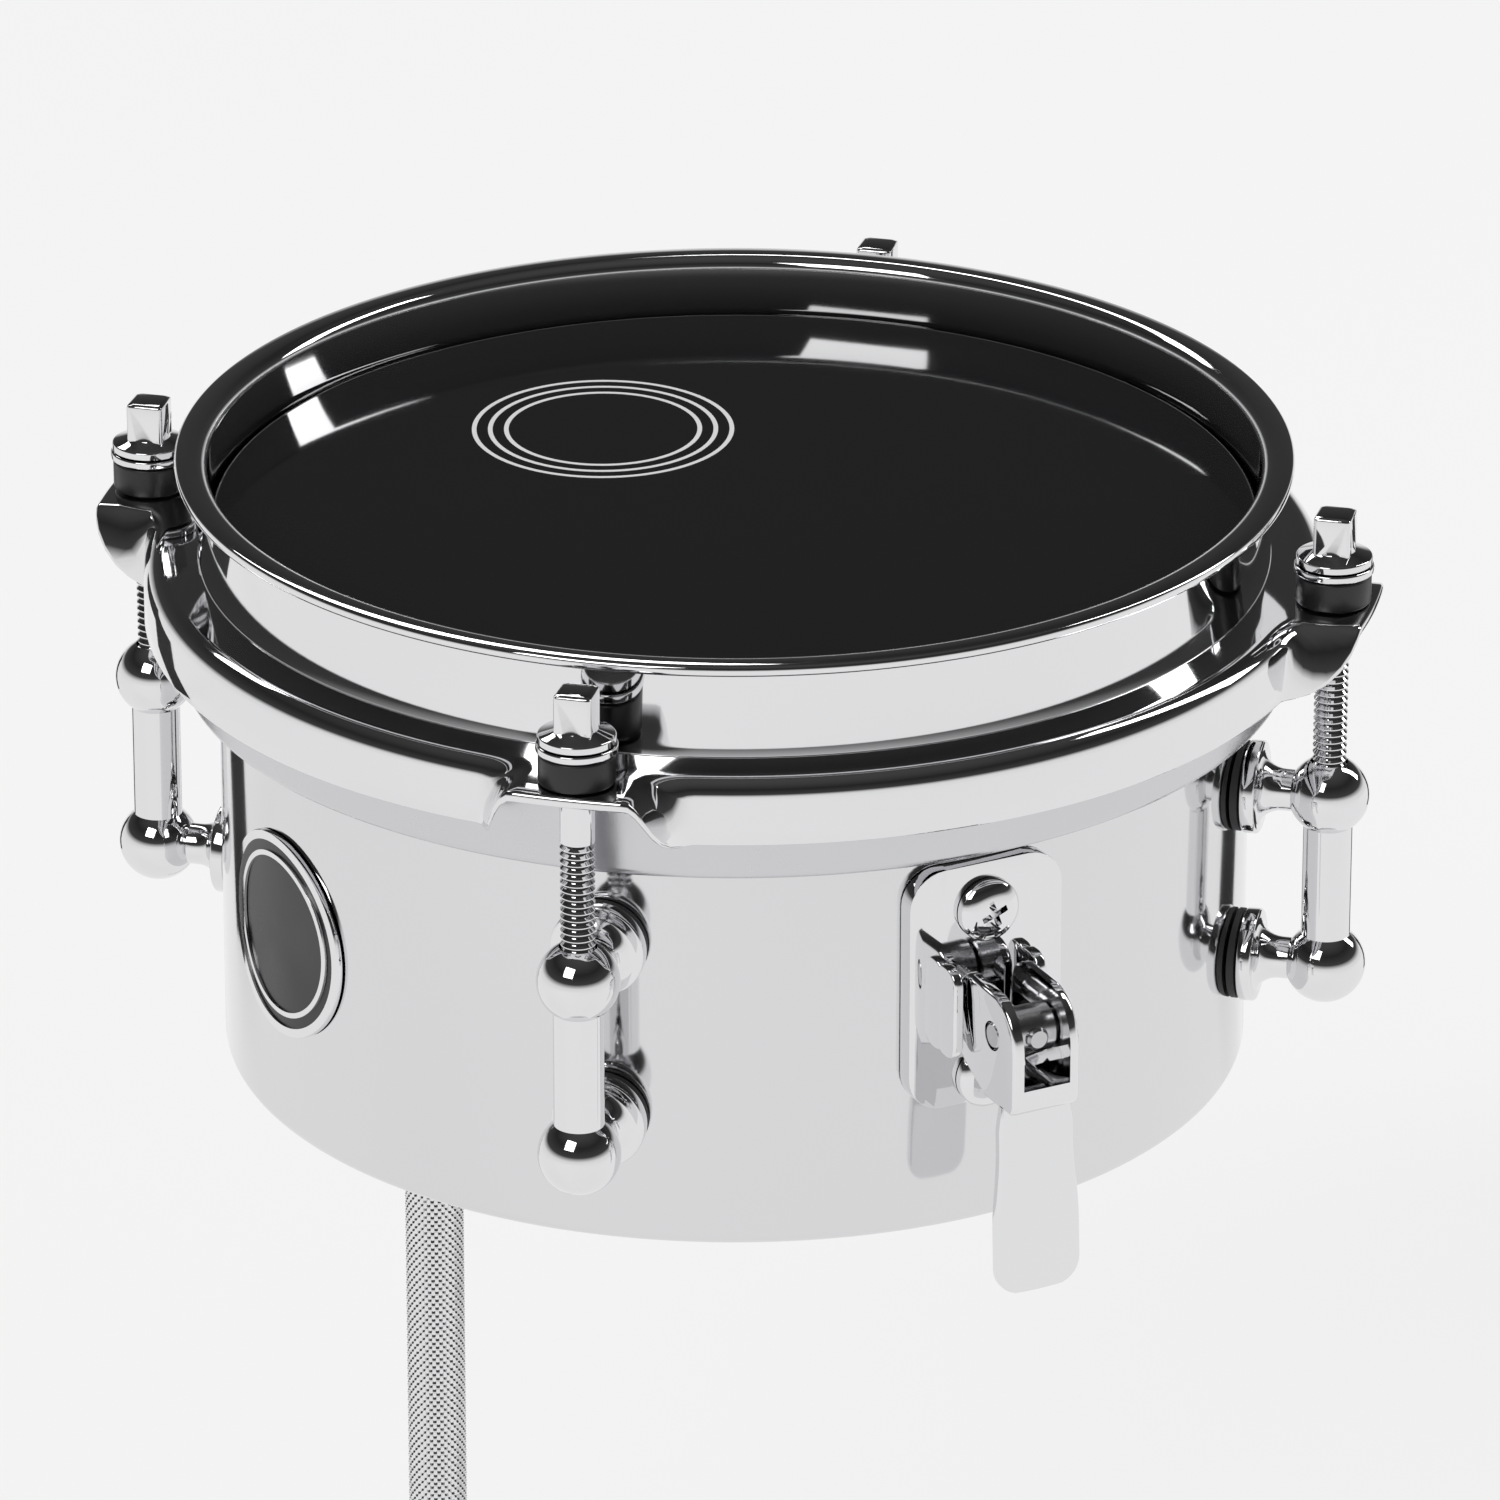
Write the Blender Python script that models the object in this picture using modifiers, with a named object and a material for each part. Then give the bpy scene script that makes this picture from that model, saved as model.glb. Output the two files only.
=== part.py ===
"""Micro snare drum on a knurled mounting rod.

The origin is the centre of the rod's lower end, +Z is up, and the snare strainer faces -Y.
Lengths are metres. Around the drum, an azimuth is measured from the strainer, towards +X.
"""

import math

import bmesh
import bpy
from mathutils import Matrix

MM = 0.001

# Clearances
SEAT_GAP = 0.3 * MM
BORE_GAP = 0.3 * MM
CUT_PAST = 1.0 * MM

# Shell
SHELL_RADIUS = 76.2 * MM
SHELL_WALL = 1.2 * MM
SHELL_HEIGHT = 83.3 * MM
CURL_RADIUS = 1.6 * MM
SHELL_SIDES = 56

# Head
FILM = 0.4 * MM
COLLAR_DEPTH = 14.0 * MM
FLESH_HOOP_WIDTH = 4.8 * MM
FLESH_HOOP_HEIGHT = 15.7 * MM

# Counterhoop
HOOP_SHEET = 1.6 * MM
HOOP_ABOVE_HEAD = 8.8 * MM
HOOP_ABOVE_SHELF = 15.2 * MM
LIP_WIDTH = 4.9 * MM
SHELF_WIDTH = 6.6 * MM
ROLL_RADIUS = 2.3 * MM
ROLL_DROP = 7.0 * MM
EAR_REACH = 12.1 * MM
EAR_FLAT = math.radians(5.0)
EAR_FADE = math.radians(5.5)

# Tension rods, which stand on a circle round the shell
LUG_AZIMUTHS = {"front": -41.4, "right": 48.6, "back": 138.6, "left": -131.4}
ROD_STANDOFF = 13.5 * MM
ROD_SHANK_RADIUS = 2.5 * MM
ROD_REACH_IN_LUG = 23.0 * MM
ROD_FLANGE_RADIUS = 5.6 * MM
ROD_FLANGE_THICK = 1.1 * MM
ROD_HEAD_WIDTH = 5.5 * MM
ROD_HEAD_HEIGHT = 6.4 * MM
SLEEVE_RADIUS = 5.5 * MM
SLEEVE_HEIGHT = 4.3 * MM
WASHER_RADIUS = 5.85 * MM
WASHER_THICK = 1.2 * MM
EAR_HOLE_GAP = 1.0 * MM
EAR_HOLE_TURN = 4.0

# Tube lugs
LUG_BALL_RADIUS = 6.0 * MM
LUG_LOW_BALL = 20.0 * MM
LUG_BALL_SPACING = 27.0 * MM
LUG_BARREL_RADIUS = 3.65 * MM
LUG_NECK_RADIUS = 3.1 * MM
NECK_PAST_AXIS = 1.3 * MM
LUG_FOOT_RADIUS = 6.9 * MM
LUG_FOOT_THICK = 2.2 * MM
LUG_FLARE = 2.6 * MM
GASKET_THICK = 0.8 * MM

# Screws through the shell
SCREW_SHANK_RADIUS = 1.7 * MM
SCREW_HEAD_RADIUS = 3.6 * MM
SCREW_HEAD_THICK = 2.2 * MM
SCREW_BITE = 6.0 * MM
PLATE_SCREW_HEAD_RADIUS = 4.7 * MM
PLATE_SCREW_HEAD_THICK = 2.6 * MM
NUT_THICK = 2.4 * MM
NUT_RADIUS = 3.9 * MM

# Badge
BADGE_AZIMUTH = -86.7
BADGE_RADIUS = 15.65 * MM
BADGE_HEIGHT = 32.3 * MM
BADGE_THICK = 0.8 * MM

# Strainer
PLATE_WIDTH = 24.5 * MM
PLATE_BOTTOM = 20.4 * MM
PLATE_TALL = 37.1 * MM
PLATE_THICK = 1.8 * MM
PLATE_CORNER = 5.5 * MM
PLATE_SCREW_INSET = 7.1 * MM
PLATE_LOW_SCREW_INSET = 4.0 * MM
CHEEK_HEIGHT = 14.0 * MM
CHEEK_REACH = 4.6 * MM
CHEEK_THICK = 1.6 * MM
PIVOT_HEIGHT = 36.3 * MM
PIVOT_STANDOFF = 11.8 * MM
LEVER_WIDTH = 10.6 * MM
LEVER_SHEET = 1.6 * MM
LEVER_BACK = 10.6 * MM
LEVER_TOP = 6.7 * MM
LEVER_CORNER = 4.0 * MM
LEVER_FRONT = 6.7 * MM
LEVER_DROP = 10.5 * MM
LEVER_WINDOW_DROP = 6.4 * MM
LEVER_BELLY = 2.1 * MM
HEEL_RUN = 2.3 * MM
HEEL_RISE = 2.9 * MM
HEEL_TOP = 4.5 * MM
HANDLE_WIDTH = 13.5 * MM
HANDLE_WAIST = 11.9 * MM
HANDLE_THICK = 1.8 * MM
HANDLE_LENGTH = 29.4 * MM
HANDLE_FORWARD = 2.3 * MM
HANDLE_LEAN = math.radians(3.0)
HANDLE_CORNER = 4.0 * MM
TRUNNION_RADIUS = 1.9 * MM
BARREL_RADIUS = 3.5 * MM
DRAW_ROD_RADIUS = 1.7 * MM
DRAW_ROD_PAST_PIN = 4.2 * MM
DRAW_HEAD_RADIUS = 3.4 * MM
DRAW_HEAD_THICK = 2.2 * MM

# Snares, inside the shell
CARRIER_STANDOFF = 6.5 * MM
CARRIER_WIDTH = 16.0 * MM
CARRIER_THICK = 2.0 * MM
CARRIER_BELOW_ROD = 5.0 * MM
SHELF_DEPTH = 8.0 * MM
SHELF_THICK = 1.5 * MM
SNARE_TO_FILM = 0.4 * MM
STRAND_RADIUS = 0.6 * MM
STRAND_COUNT = 8
STRAND_PITCH = 2.2 * MM
SNARE_PLATE_DEPTH = 7.0 * MM
SNARE_PLATE_THICK = 1.0 * MM
SNARE_PLATE_SINK = 0.2 * MM
SNARE_PLATE_MARGIN = 1.6 * MM
BUTT_STANDOFF = 0.8 * MM
BUTT_THICK = 2.2 * MM
BUTT_SHELF_DEPTH = 12.0 * MM

# Mounting rod and its bracket
MOUNT_ROD_RADIUS = 4.7625 * MM
MOUNT_ROD_LENGTH = 254.0 * MM
MOUNT_ROD_CHAMFER = 0.8 * MM
MOUNT_ROD_STANDOFF = 29.4 * MM
MOUNT_ROD_ABOVE_BOTTOM = 60.0 * MM
BRACKET_WIDTH = 26.0 * MM
BRACKET_TALL = 40.0 * MM
BRACKET_MIDDLE = 38.0 * MM
BRACKET_SCREW_INSET = 7.0 * MM
BOSS_WALL = 5.2 * MM
BOSS_HEIGHT = 22.0 * MM
WEB_WIDTH = 12.0 * MM
WEB_HEIGHT = 16.0 * MM
WING_SHANK_RADIUS = 2.5 * MM
WING_HUB_RADIUS = 4.5 * MM
WING_HUB_LENGTH = 7.0 * MM
WING_SPAN = 26.0 * MM
WING_HEIGHT = 9.0 * MM
WING_THICK = 2.4 * MM

# Heights above the shell's bottom edge, worked out from the sizes above
FILM_BOTTOM = SHELL_HEIGHT + SEAT_GAP
FILM_TOP = FILM_BOTTOM + FILM
HOOP_TOP = FILM_TOP + HOOP_ABOVE_HEAD
SHELF_TOP = HOOP_TOP - HOOP_ABOVE_SHELF
FLESH_TOP = SHELF_TOP - HOOP_SHEET - SEAT_GAP
SLEEVE_BOTTOM = SHELF_TOP + SEAT_GAP
WASHER_BOTTOM = SLEEVE_BOTTOM + SLEEVE_HEIGHT + SEAT_GAP
FLANGE_BOTTOM = WASHER_BOTTOM + WASHER_THICK + SEAT_GAP
LUG_HIGH_BALL = LUG_LOW_BALL + LUG_BALL_SPACING
LUG_TOP = LUG_HIGH_BALL + LUG_BALL_RADIUS
ROD_END = LUG_TOP - ROD_REACH_IN_LUG
STRAND_HEIGHT = FILM_BOTTOM - SNARE_TO_FILM - STRAND_RADIUS
SNARE_PLATE_TOP = STRAND_HEIGHT - SNARE_PLATE_SINK
SNARE_PLATE_BOTTOM = SNARE_PLATE_TOP - SNARE_PLATE_THICK
SNARE_SHELF_TOP = SNARE_PLATE_BOTTOM - SEAT_GAP

# Distances from the drum's axis, worked out from the sizes above
SHELL_INSIDE = SHELL_RADIUS - SHELL_WALL
COLLAR_INSIDE = SHELL_RADIUS + SEAT_GAP
COLLAR_OUTSIDE = COLLAR_INSIDE + FILM
FLESH_INSIDE = COLLAR_OUTSIDE + SEAT_GAP
HOOP_WALL_MIDDLE = FLESH_INSIDE + HOOP_SHEET / 2
ROD_CIRCLE = SHELL_RADIUS + ROD_STANDOFF
SEAT_RADIUS = SHELL_RADIUS + SEAT_GAP
PLATE_FRONT = SEAT_RADIUS + PLATE_THICK
PIVOT_OUT = PLATE_FRONT + PIVOT_STANDOFF
GASKET_FRONT = SEAT_RADIUS + GASKET_THICK
FOOT_BACK = GASKET_FRONT + SEAT_GAP
CARRIER_FRONT = SHELL_INSIDE - CARRIER_STANDOFF
CARRIER_BACK = CARRIER_FRONT - CARRIER_THICK
BUTT_FRONT = SHELL_INSIDE - BUTT_STANDOFF
MOUNT_ROD_OUT = SHELL_RADIUS + MOUNT_ROD_STANDOFF
BOSS_RADIUS = MOUNT_ROD_RADIUS + BORE_GAP + BOSS_WALL
BRACKET_SCREWS = (BRACKET_MIDDLE, BRACKET_TALL, BRACKET_SCREW_INSET, BRACKET_SCREW_INSET)

# Outward is local -Y, and up is +Z
FACING_OUT = Matrix(((1, 0, 0), (0, 0, -1), (0, 1, 0))).to_4x4()
SIDE_ON = Matrix(((0, 0, -1), (-1, 0, 0), (0, 1, 0))).to_4x4()
RADIAL_OUT = (math.pi / 2, 0, 0)
RADIAL_IN = (-math.pi / 2, 0, 0)

FINISHES = {
    "chrome": ((0.78, 0.78, 0.79, 1), 0.12, 1.0),
    "black_film": ((0.012, 0.012, 0.014, 1), 0.08, 0.0),
    "flesh_silver": ((0.62, 0.62, 0.64, 1), 0.3, 1.0),
    "black_plastic": ((0.015, 0.015, 0.016, 1), 0.4, 0.0),
    "dark_rubber": ((0.05, 0.05, 0.05, 1), 0.7, 0.0),
    "badge_enamel": ((0.03, 0.03, 0.035, 1), 0.25, 0.3),
    "steel": ((0.55, 0.55, 0.56, 1), 0.3, 1.0),
}


class Bench:
    """The collections and the empty that pieces are placed under."""

    def __init__(self):
        self.parts = self.collection("micro_snare_drum")
        self.cutters = self.collection("cutters")
        self.shell_holes = self.collection("shell_holes")
        self.drum = self.empty("drum_axis", (0, -MOUNT_ROD_OUT, MOUNT_ROD_LENGTH - MOUNT_ROD_ABOVE_BOTTOM))
        self.finishes = {name: self.material(name, *look) for name, look in FINISHES.items()}

    def collection(self, name):
        made = bpy.data.collections.new(name)
        bpy.context.scene.collection.children.link(made)
        return made

    def empty(self, name, location):
        made = bpy.data.objects.new(name, None)
        made.location = location
        self.parts.objects.link(made)
        return made

    def material(self, name, colour, roughness, metallic):
        made = bpy.data.materials.new(name)
        made.use_nodes = True
        shader = made.node_tree.nodes["Principled BSDF"]
        shader.inputs["Base Color"].default_value = colour
        shader.inputs["Roughness"].default_value = roughness
        shader.inputs["Metallic"].default_value = metallic
        made.diffuse_color = colour
        return made

    def part(self, obj, name, finish, location=(0, 0, 0), azimuth=0.0, tilt=(0, 0, 0)):
        """Names a piece, gives it its material and stands it under the drum's empty."""
        obj.name = name
        obj.data.name = name
        obj.data.materials.clear()
        obj.data.materials.append(self.finishes[finish])
        self.place(obj, location, azimuth, tilt)
        self.parts.objects.link(obj)
        return obj

    def cutter(self, obj, name, location=(0, 0, 0), azimuth=0.0, tilt=(0, 0, 0), collection=None):
        """Places a body that cuts, joins or bounds a piece and isn't one itself."""
        obj.name = name
        obj.hide_render = True
        obj.display_type = "WIRE"
        self.place(obj, location, azimuth, tilt)
        (collection or self.cutters).objects.link(obj)
        return obj

    def place(self, obj, location, azimuth, tilt):
        obj.parent = self.drum
        obj.location = location
        obj.rotation_euler = (tilt[0], tilt[1], tilt[2] + math.radians(azimuth))


def around(azimuth, out, height=0.0):
    """The point at this azimuth, distance from the drum's axis and height."""
    turn = math.radians(azimuth)
    return (out * math.sin(turn), -out * math.cos(turn), height)


def turned(profile, sides, closed=False):
    """A body turned about local Z from (radius, height) points that run down its outer side."""
    mesh = bpy.data.meshes.new("turned")
    points = [(radius, 0, height) for radius, height in profile]
    edges = [(index, index + 1) for index in range(len(points) - 1)]
    if closed:
        edges.append((len(points) - 1, 0))
    mesh.from_pydata(points, edges, [])
    obj = bpy.data.objects.new("turned", mesh)
    screw = obj.modifiers.new("Turn", "SCREW")
    screw.steps = screw.render_steps = sides
    screw.use_merge_vertices = True
    screw.merge_threshold = 0.00001
    return obj


def arc(centre, radius, start, end, count):
    """Points on an arc in a (radius, height) plane; angles are degrees from +X."""
    steps = [math.radians(start + (end - start) * index / count) for index in range(count + 1)]
    return [(centre[0] + radius * math.cos(turn), centre[1] + radius * math.sin(turn)) for turn in steps]


def pin(radius, low, high, sides=10):
    """A plain round bar along local Z."""
    return turned([(0, high), (radius, high), (radius, low), (0, low)], sides)


def ring(inside, outside, low, high, sides):
    """A plain ring about local Z."""
    return turned([(inside, high), (outside, high), (outside, low), (inside, low)], sides, closed=True)


def slab(outline, thickness, stand, offset=(0, 0, 0)):
    """A flat outline extruded evenly about its plane, turned by stand and then moved by offset."""
    curve = bpy.data.curves.new("outline", "CURVE")
    curve.dimensions = "2D"
    curve.fill_mode = "BOTH"
    curve.extrude = thickness / 2
    spline = curve.splines.new("POLY")
    spline.points.add(len(outline) - 1)
    for point, (x, y) in zip(spline.points, outline):
        point.co = (x, y, 0, 1)
    spline.use_cyclic_u = True
    source = bpy.data.objects.new("outline", curve)
    bpy.context.scene.collection.objects.link(source)
    graph = bpy.context.evaluated_depsgraph_get()
    mesh = bpy.data.meshes.new_from_object(source.evaluated_get(graph))
    bpy.data.objects.remove(source)
    bpy.data.curves.remove(curve)
    body = bmesh.new()
    body.from_mesh(mesh)
    bmesh.ops.remove_doubles(body, verts=body.verts, dist=0.00001)
    bmesh.ops.transform(body, matrix=Matrix.Translation(offset) @ stand, verts=body.verts)
    bmesh.ops.recalc_face_normals(body, faces=body.faces)
    body.to_mesh(mesh)
    body.free()
    return bpy.data.objects.new("slab", mesh)


def block(size, centre=(0, 0, 0)):
    """A box of this size about its centre."""
    body = bmesh.new()
    bmesh.ops.create_cube(body, size=1)
    bmesh.ops.scale(body, vec=size, verts=body.verts)
    bmesh.ops.translate(body, vec=centre, verts=body.verts)
    mesh = bpy.data.meshes.new("block")
    body.to_mesh(mesh)
    body.free()
    return bpy.data.objects.new("block", mesh)


def boolean(obj, operation, other):
    """Adds one exact Boolean of another body or of a collection of bodies."""
    modifier = obj.modifiers.new(operation.title(), "BOOLEAN")
    modifier.operation = operation
    if isinstance(other, bpy.types.Collection):
        modifier.operand_type = "COLLECTION"
        modifier.collection = other
    else:
        modifier.object = other


def bevelled(obj, width, segments=2):
    """Rounds the edges of a body that has no Boolean yet."""
    modifier = obj.modifiers.new("Round", "BEVEL")
    modifier.width = width
    modifier.segments = segments


def rounded_rectangle(width, height, radius, count=4):
    """The outline of a rectangle with round corners about the origin."""
    x, y = width / 2 - radius, height / 2 - radius
    corners = (((x, y), 0), ((-x, y), 90), ((-x, -y), 180), ((x, -y), 270))
    return [point for centre, start in corners for point in arc(centre, radius, start, start + 90, count)]


def smooth_shade(obj):
    """Shades a round piece smooth, but for its sharp edges."""
    obj.data.shade_smooth()


# Shell, badge and head


def make_shell(bench):
    curl = arc((SHELL_RADIUS - CURL_RADIUS, CURL_RADIUS), CURL_RADIUS, 0, -180, 4)
    inside = SHELL_RADIUS - CURL_RADIUS * 2
    profile = [(SHELL_INSIDE, SHELL_HEIGHT), (SHELL_RADIUS, SHELL_HEIGHT)]
    profile += curl
    profile += [(inside, CURL_RADIUS * 2), (SHELL_INSIDE, CURL_RADIUS * 2 + SHELL_WALL)]
    shell = bench.part(turned(profile, SHELL_SIDES, closed=True), "shell", "chrome")
    boolean(shell, "DIFFERENCE", bench.shell_holes)


def shell_hole(bench, azimuth, height, radius):
    """A radial hole through the shell's wall."""
    hole = pin(radius, SHELL_INSIDE - 2 * MM, SHELL_RADIUS + 2 * MM)
    bench.cutter(hole, "shell_hole", (0, 0, height), azimuth, RADIAL_OUT, bench.shell_holes)


def make_badge(bench):
    band = ring(
        SEAT_RADIUS,
        SEAT_RADIUS + BADGE_THICK,
        BADGE_HEIGHT - BADGE_RADIUS - CUT_PAST,
        BADGE_HEIGHT + BADGE_RADIUS + CUT_PAST,
        SHELL_SIDES,
    )
    badge = bench.part(band, "badge", "badge_enamel")
    disc = pin(BADGE_RADIUS, SHELL_INSIDE - 10 * MM, SHELL_RADIUS + 10 * MM, 40)
    bench.cutter(disc, "badge_outline", (0, 0, BADGE_HEIGHT), BADGE_AZIMUTH, RADIAL_OUT)
    boolean(badge, "INTERSECT", disc)


def make_head(bench):
    collar_bottom = FILM_TOP - COLLAR_DEPTH
    profile = [
        (0, FILM_TOP),
        (COLLAR_OUTSIDE - FILM, FILM_TOP),
        (COLLAR_OUTSIDE, FILM_TOP - FILM),
        (COLLAR_OUTSIDE, collar_bottom),
        (COLLAR_INSIDE, collar_bottom),
        (COLLAR_INSIDE, FILM_BOTTOM),
        (0, FILM_BOTTOM),
    ]
    film = bench.part(turned(profile, SHELL_SIDES), "head_film", "black_film")
    smooth_shade(film)
    low = FLESH_TOP - FLESH_HOOP_HEIGHT
    outside = FLESH_INSIDE + FLESH_HOOP_WIDTH
    corner = FLESH_HOOP_WIDTH / 3
    profile = [(FLESH_INSIDE, FLESH_TOP), (outside, FLESH_TOP), (outside, low + corner)]
    profile += [(outside - corner * 0.3, low + corner * 0.3), (outside - corner, low), (FLESH_INSIDE, low)]
    bench.part(turned(profile, SHELL_SIDES, closed=True), "flesh_hoop", "flesh_silver")


# Counterhoop


def ear_share(azimuth):
    """1 on the flat of an ear, 0 where the flange is fully rolled, and smooth between."""
    nearest = min(abs(math.remainder(azimuth - math.radians(lug), math.tau)) for lug in LUG_AZIMUTHS.values())
    away = min(max((nearest - EAR_FLAT) / EAR_FADE, 0.0), 1.0)
    return 1 - away * away * (3 - 2 * away)


def hoop_path(share):
    """The middle of the hoop's sheet, as (radius, height) from the lip's edge to the flange's edge."""
    lip = HOOP_TOP - HOOP_SHEET / 2
    shelf = SHELF_TOP - HOOP_SHEET / 2
    bend = HOOP_WALL_MIDDLE + SHELF_WIDTH - HOOP_SHEET / 2
    path = [(FLESH_INSIDE + LIP_WIDTH, lip), (HOOP_WALL_MIDDLE, lip), (HOOP_WALL_MIDDLE, shelf), (bend, shelf)]
    turn = (1 - share) * math.pi / 2
    radius, height = bend, shelf
    for index in range(3):
        heading = turn * (index + 0.5) / 3
        step = ROLL_RADIUS * math.pi / 2 / 3
        radius += step * math.cos(heading)
        height -= step * math.sin(heading)
        path.append((radius, height))
    rest = ROLL_DROP + share * (EAR_REACH - ROLL_RADIUS * math.pi / 2 - ROLL_DROP)
    path.append((radius + rest * math.cos(turn), height - rest * math.sin(turn)))
    return path


def thickened(path, thickness):
    """The closed outline of a sheet along a path, with mitred corners."""
    sides = []
    for side in (1, -1):
        line = []
        for index, point in enumerate(path):
            before = path[max(index - 1, 0)]
            after = path[min(index + 1, len(path) - 1)]
            into = normal(before, point) if index else normal(point, after)
            onward = normal(point, after) if index < len(path) - 1 else into
            mitre = 1 + into[0] * onward[0] + into[1] * onward[1]
            shift = side * thickness / 2 / mitre
            line.append((point[0] + shift * (into[0] + onward[0]), point[1] + shift * (into[1] + onward[1])))
        sides.append(line)
    return sides[0] + sides[1][::-1]


def normal(start, end):
    """The unit normal on the left of the way from start to end."""
    run = (end[0] - start[0], end[1] - start[1])
    length = math.hypot(*run)
    return (-run[1] / length, run[0] / length)


def hoop_azimuths():
    """Where the hoop's sections lie: close together at the ears, wider apart between them."""
    reach = EAR_FLAT + EAR_FADE
    near = [reach * index / 5 for index in range(-5, 6)]
    free = math.pi / 2 - 2 * reach
    between = [reach + free * index / 10 for index in range(1, 10)]
    return [math.radians(lug) + step for lug in LUG_AZIMUTHS.values() for step in near + between]


def make_counterhoop(bench):
    """A loft, because the flange's section changes from rolled to flat at each ear."""
    body = bmesh.new()
    loops = []
    for azimuth in hoop_azimuths():
        outline = thickened(hoop_path(ear_share(azimuth)), HOOP_SHEET)
        loops.append([body.verts.new(around(math.degrees(azimuth), *point)) for point in outline])
    for loop, following in zip(loops, loops[1:] + loops[:1]):
        for index in range(len(loop)):
            onward = (index + 1) % len(loop)
            body.faces.new((loop[index], loop[onward], following[onward], following[index]))
    bmesh.ops.recalc_face_normals(body, faces=body.faces)
    mesh = bpy.data.meshes.new("counterhoop")
    body.to_mesh(mesh)
    body.free()
    hoop = bench.part(bpy.data.objects.new("counterhoop", mesh), "counterhoop", "chrome")
    for side, azimuth in LUG_AZIMUTHS.items():
        hole = pin(ROD_SHANK_RADIUS + EAR_HOLE_GAP, SHELF_TOP - 5 * MM, SHELF_TOP + 5 * MM)
        bench.cutter(hole, f"ear_hole_{side}", around(azimuth, ROD_CIRCLE), azimuth + EAR_HOLE_TURN)
        boolean(hoop, "DIFFERENCE", hole)


# Tension rods and lugs


def make_tension_rod(bench, side, azimuth):
    top_of_flange = FLANGE_BOTTOM + ROD_FLANGE_THICK
    square_foot = top_of_flange + 0.8 * MM
    profile = [
        (0, square_foot),
        (ROD_HEAD_WIDTH / 2, square_foot),
        (ROD_FLANGE_RADIUS, top_of_flange),
        (ROD_FLANGE_RADIUS, FLANGE_BOTTOM),
        (ROD_SHANK_RADIUS, FLANGE_BOTTOM),
        (ROD_SHANK_RADIUS, ROD_END + ROD_SHANK_RADIUS / 2),
        (ROD_SHANK_RADIUS / 2, ROD_END),
        (0, ROD_END),
    ]
    where = around(azimuth, ROD_CIRCLE)
    rod = bench.part(turned(profile, 12), f"tension_rod_{side}", "chrome", where, azimuth)
    tall = ROD_HEAD_HEIGHT + ROD_FLANGE_THICK / 2
    head = block((ROD_HEAD_WIDTH, ROD_HEAD_WIDTH, tall), (0, 0, top_of_flange + ROD_HEAD_HEIGHT - tall / 2))
    bevelled(head, 0.6 * MM)
    bench.cutter(head, f"square_head_{side}", where, azimuth)
    boolean(rod, "UNION", head)
    hole = ROD_SHANK_RADIUS + BORE_GAP
    washer = ring(hole, WASHER_RADIUS, WASHER_BOTTOM, WASHER_BOTTOM + WASHER_THICK, 18)
    bench.part(washer, f"washer_{side}", "chrome", where, azimuth)
    sleeve = ring(hole, SLEEVE_RADIUS, SLEEVE_BOTTOM, SLEEVE_BOTTOM + SLEEVE_HEIGHT, 18)
    bench.part(sleeve, f"sleeve_{side}", "black_plastic", where, azimuth)


def lug_profile():
    """A ball, a barrel and a ball, from the top down."""
    meet = math.degrees(math.acos(LUG_BARREL_RADIUS / LUG_BALL_RADIUS))
    top = arc((0, LUG_HIGH_BALL), LUG_BALL_RADIUS, 90, -meet, 5)
    bottom = arc((0, LUG_LOW_BALL), LUG_BALL_RADIUS, meet, -90, 5)
    return [(0, LUG_TOP)] + top[1:] + bottom[:-1] + [(0, LUG_LOW_BALL - LUG_BALL_RADIUS)]


def neck():
    """A lug's neck and foot, turned, from the rod's axis inwards to the gasket."""
    reach = ROD_CIRCLE - FOOT_BACK
    flare = reach - LUG_FOOT_THICK
    profile = [
        (0, reach),
        (LUG_FOOT_RADIUS, reach),
        (LUG_FOOT_RADIUS, flare),
        (LUG_NECK_RADIUS + (LUG_FOOT_RADIUS - LUG_NECK_RADIUS) * 0.3, flare - LUG_FLARE * 0.3),
        (LUG_NECK_RADIUS, flare - LUG_FLARE),
        (LUG_NECK_RADIUS, -NECK_PAST_AXIS),
        (0, -NECK_PAST_AXIS),
    ]
    return turned(profile, 11)


def make_lug(bench, side, azimuth, shell_bound):
    lug = bench.part(turned(lug_profile(), 12), f"lug_{side}", "chrome", around(azimuth, ROD_CIRCLE), azimuth)
    for level, height in (("low", LUG_LOW_BALL), ("high", LUG_HIGH_BALL)):
        name = f"{side}_{level}"
        where = around(azimuth, ROD_CIRCLE, height)
        boolean(lug, "UNION", bench.cutter(neck(), f"neck_{name}", where, azimuth, RADIAL_IN))
        screw_hole = pin(SCREW_SHANK_RADIUS + BORE_GAP, 0, FOOT_BACK + SCREW_BITE + BORE_GAP)
        bench.cutter(screw_hole, f"lug_screw_hole_{name}", (0, 0, height), azimuth, RADIAL_OUT)
        boolean(lug, "DIFFERENCE", screw_hole)
        gasket = pin(LUG_FOOT_RADIUS, SHELL_INSIDE, GASKET_FRONT, 14)
        bench.part(gasket, f"lug_gasket_{name}", "dark_rubber", (0, 0, height), azimuth, RADIAL_OUT)
        boolean(gasket, "DIFFERENCE", shell_bound)
        boolean(gasket, "DIFFERENCE", screw_hole)
        shell_hole(bench, azimuth, height, SCREW_SHANK_RADIUS + BORE_GAP)
        make_lug_screw(bench, name, azimuth, height)
    bore = pin(ROD_SHANK_RADIUS + BORE_GAP, ROD_END - 2 * MM, LUG_TOP + CUT_PAST)
    bench.cutter(bore, f"lug_bore_{side}", around(azimuth, ROD_CIRCLE), azimuth)
    boolean(lug, "DIFFERENCE", bore)


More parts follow.
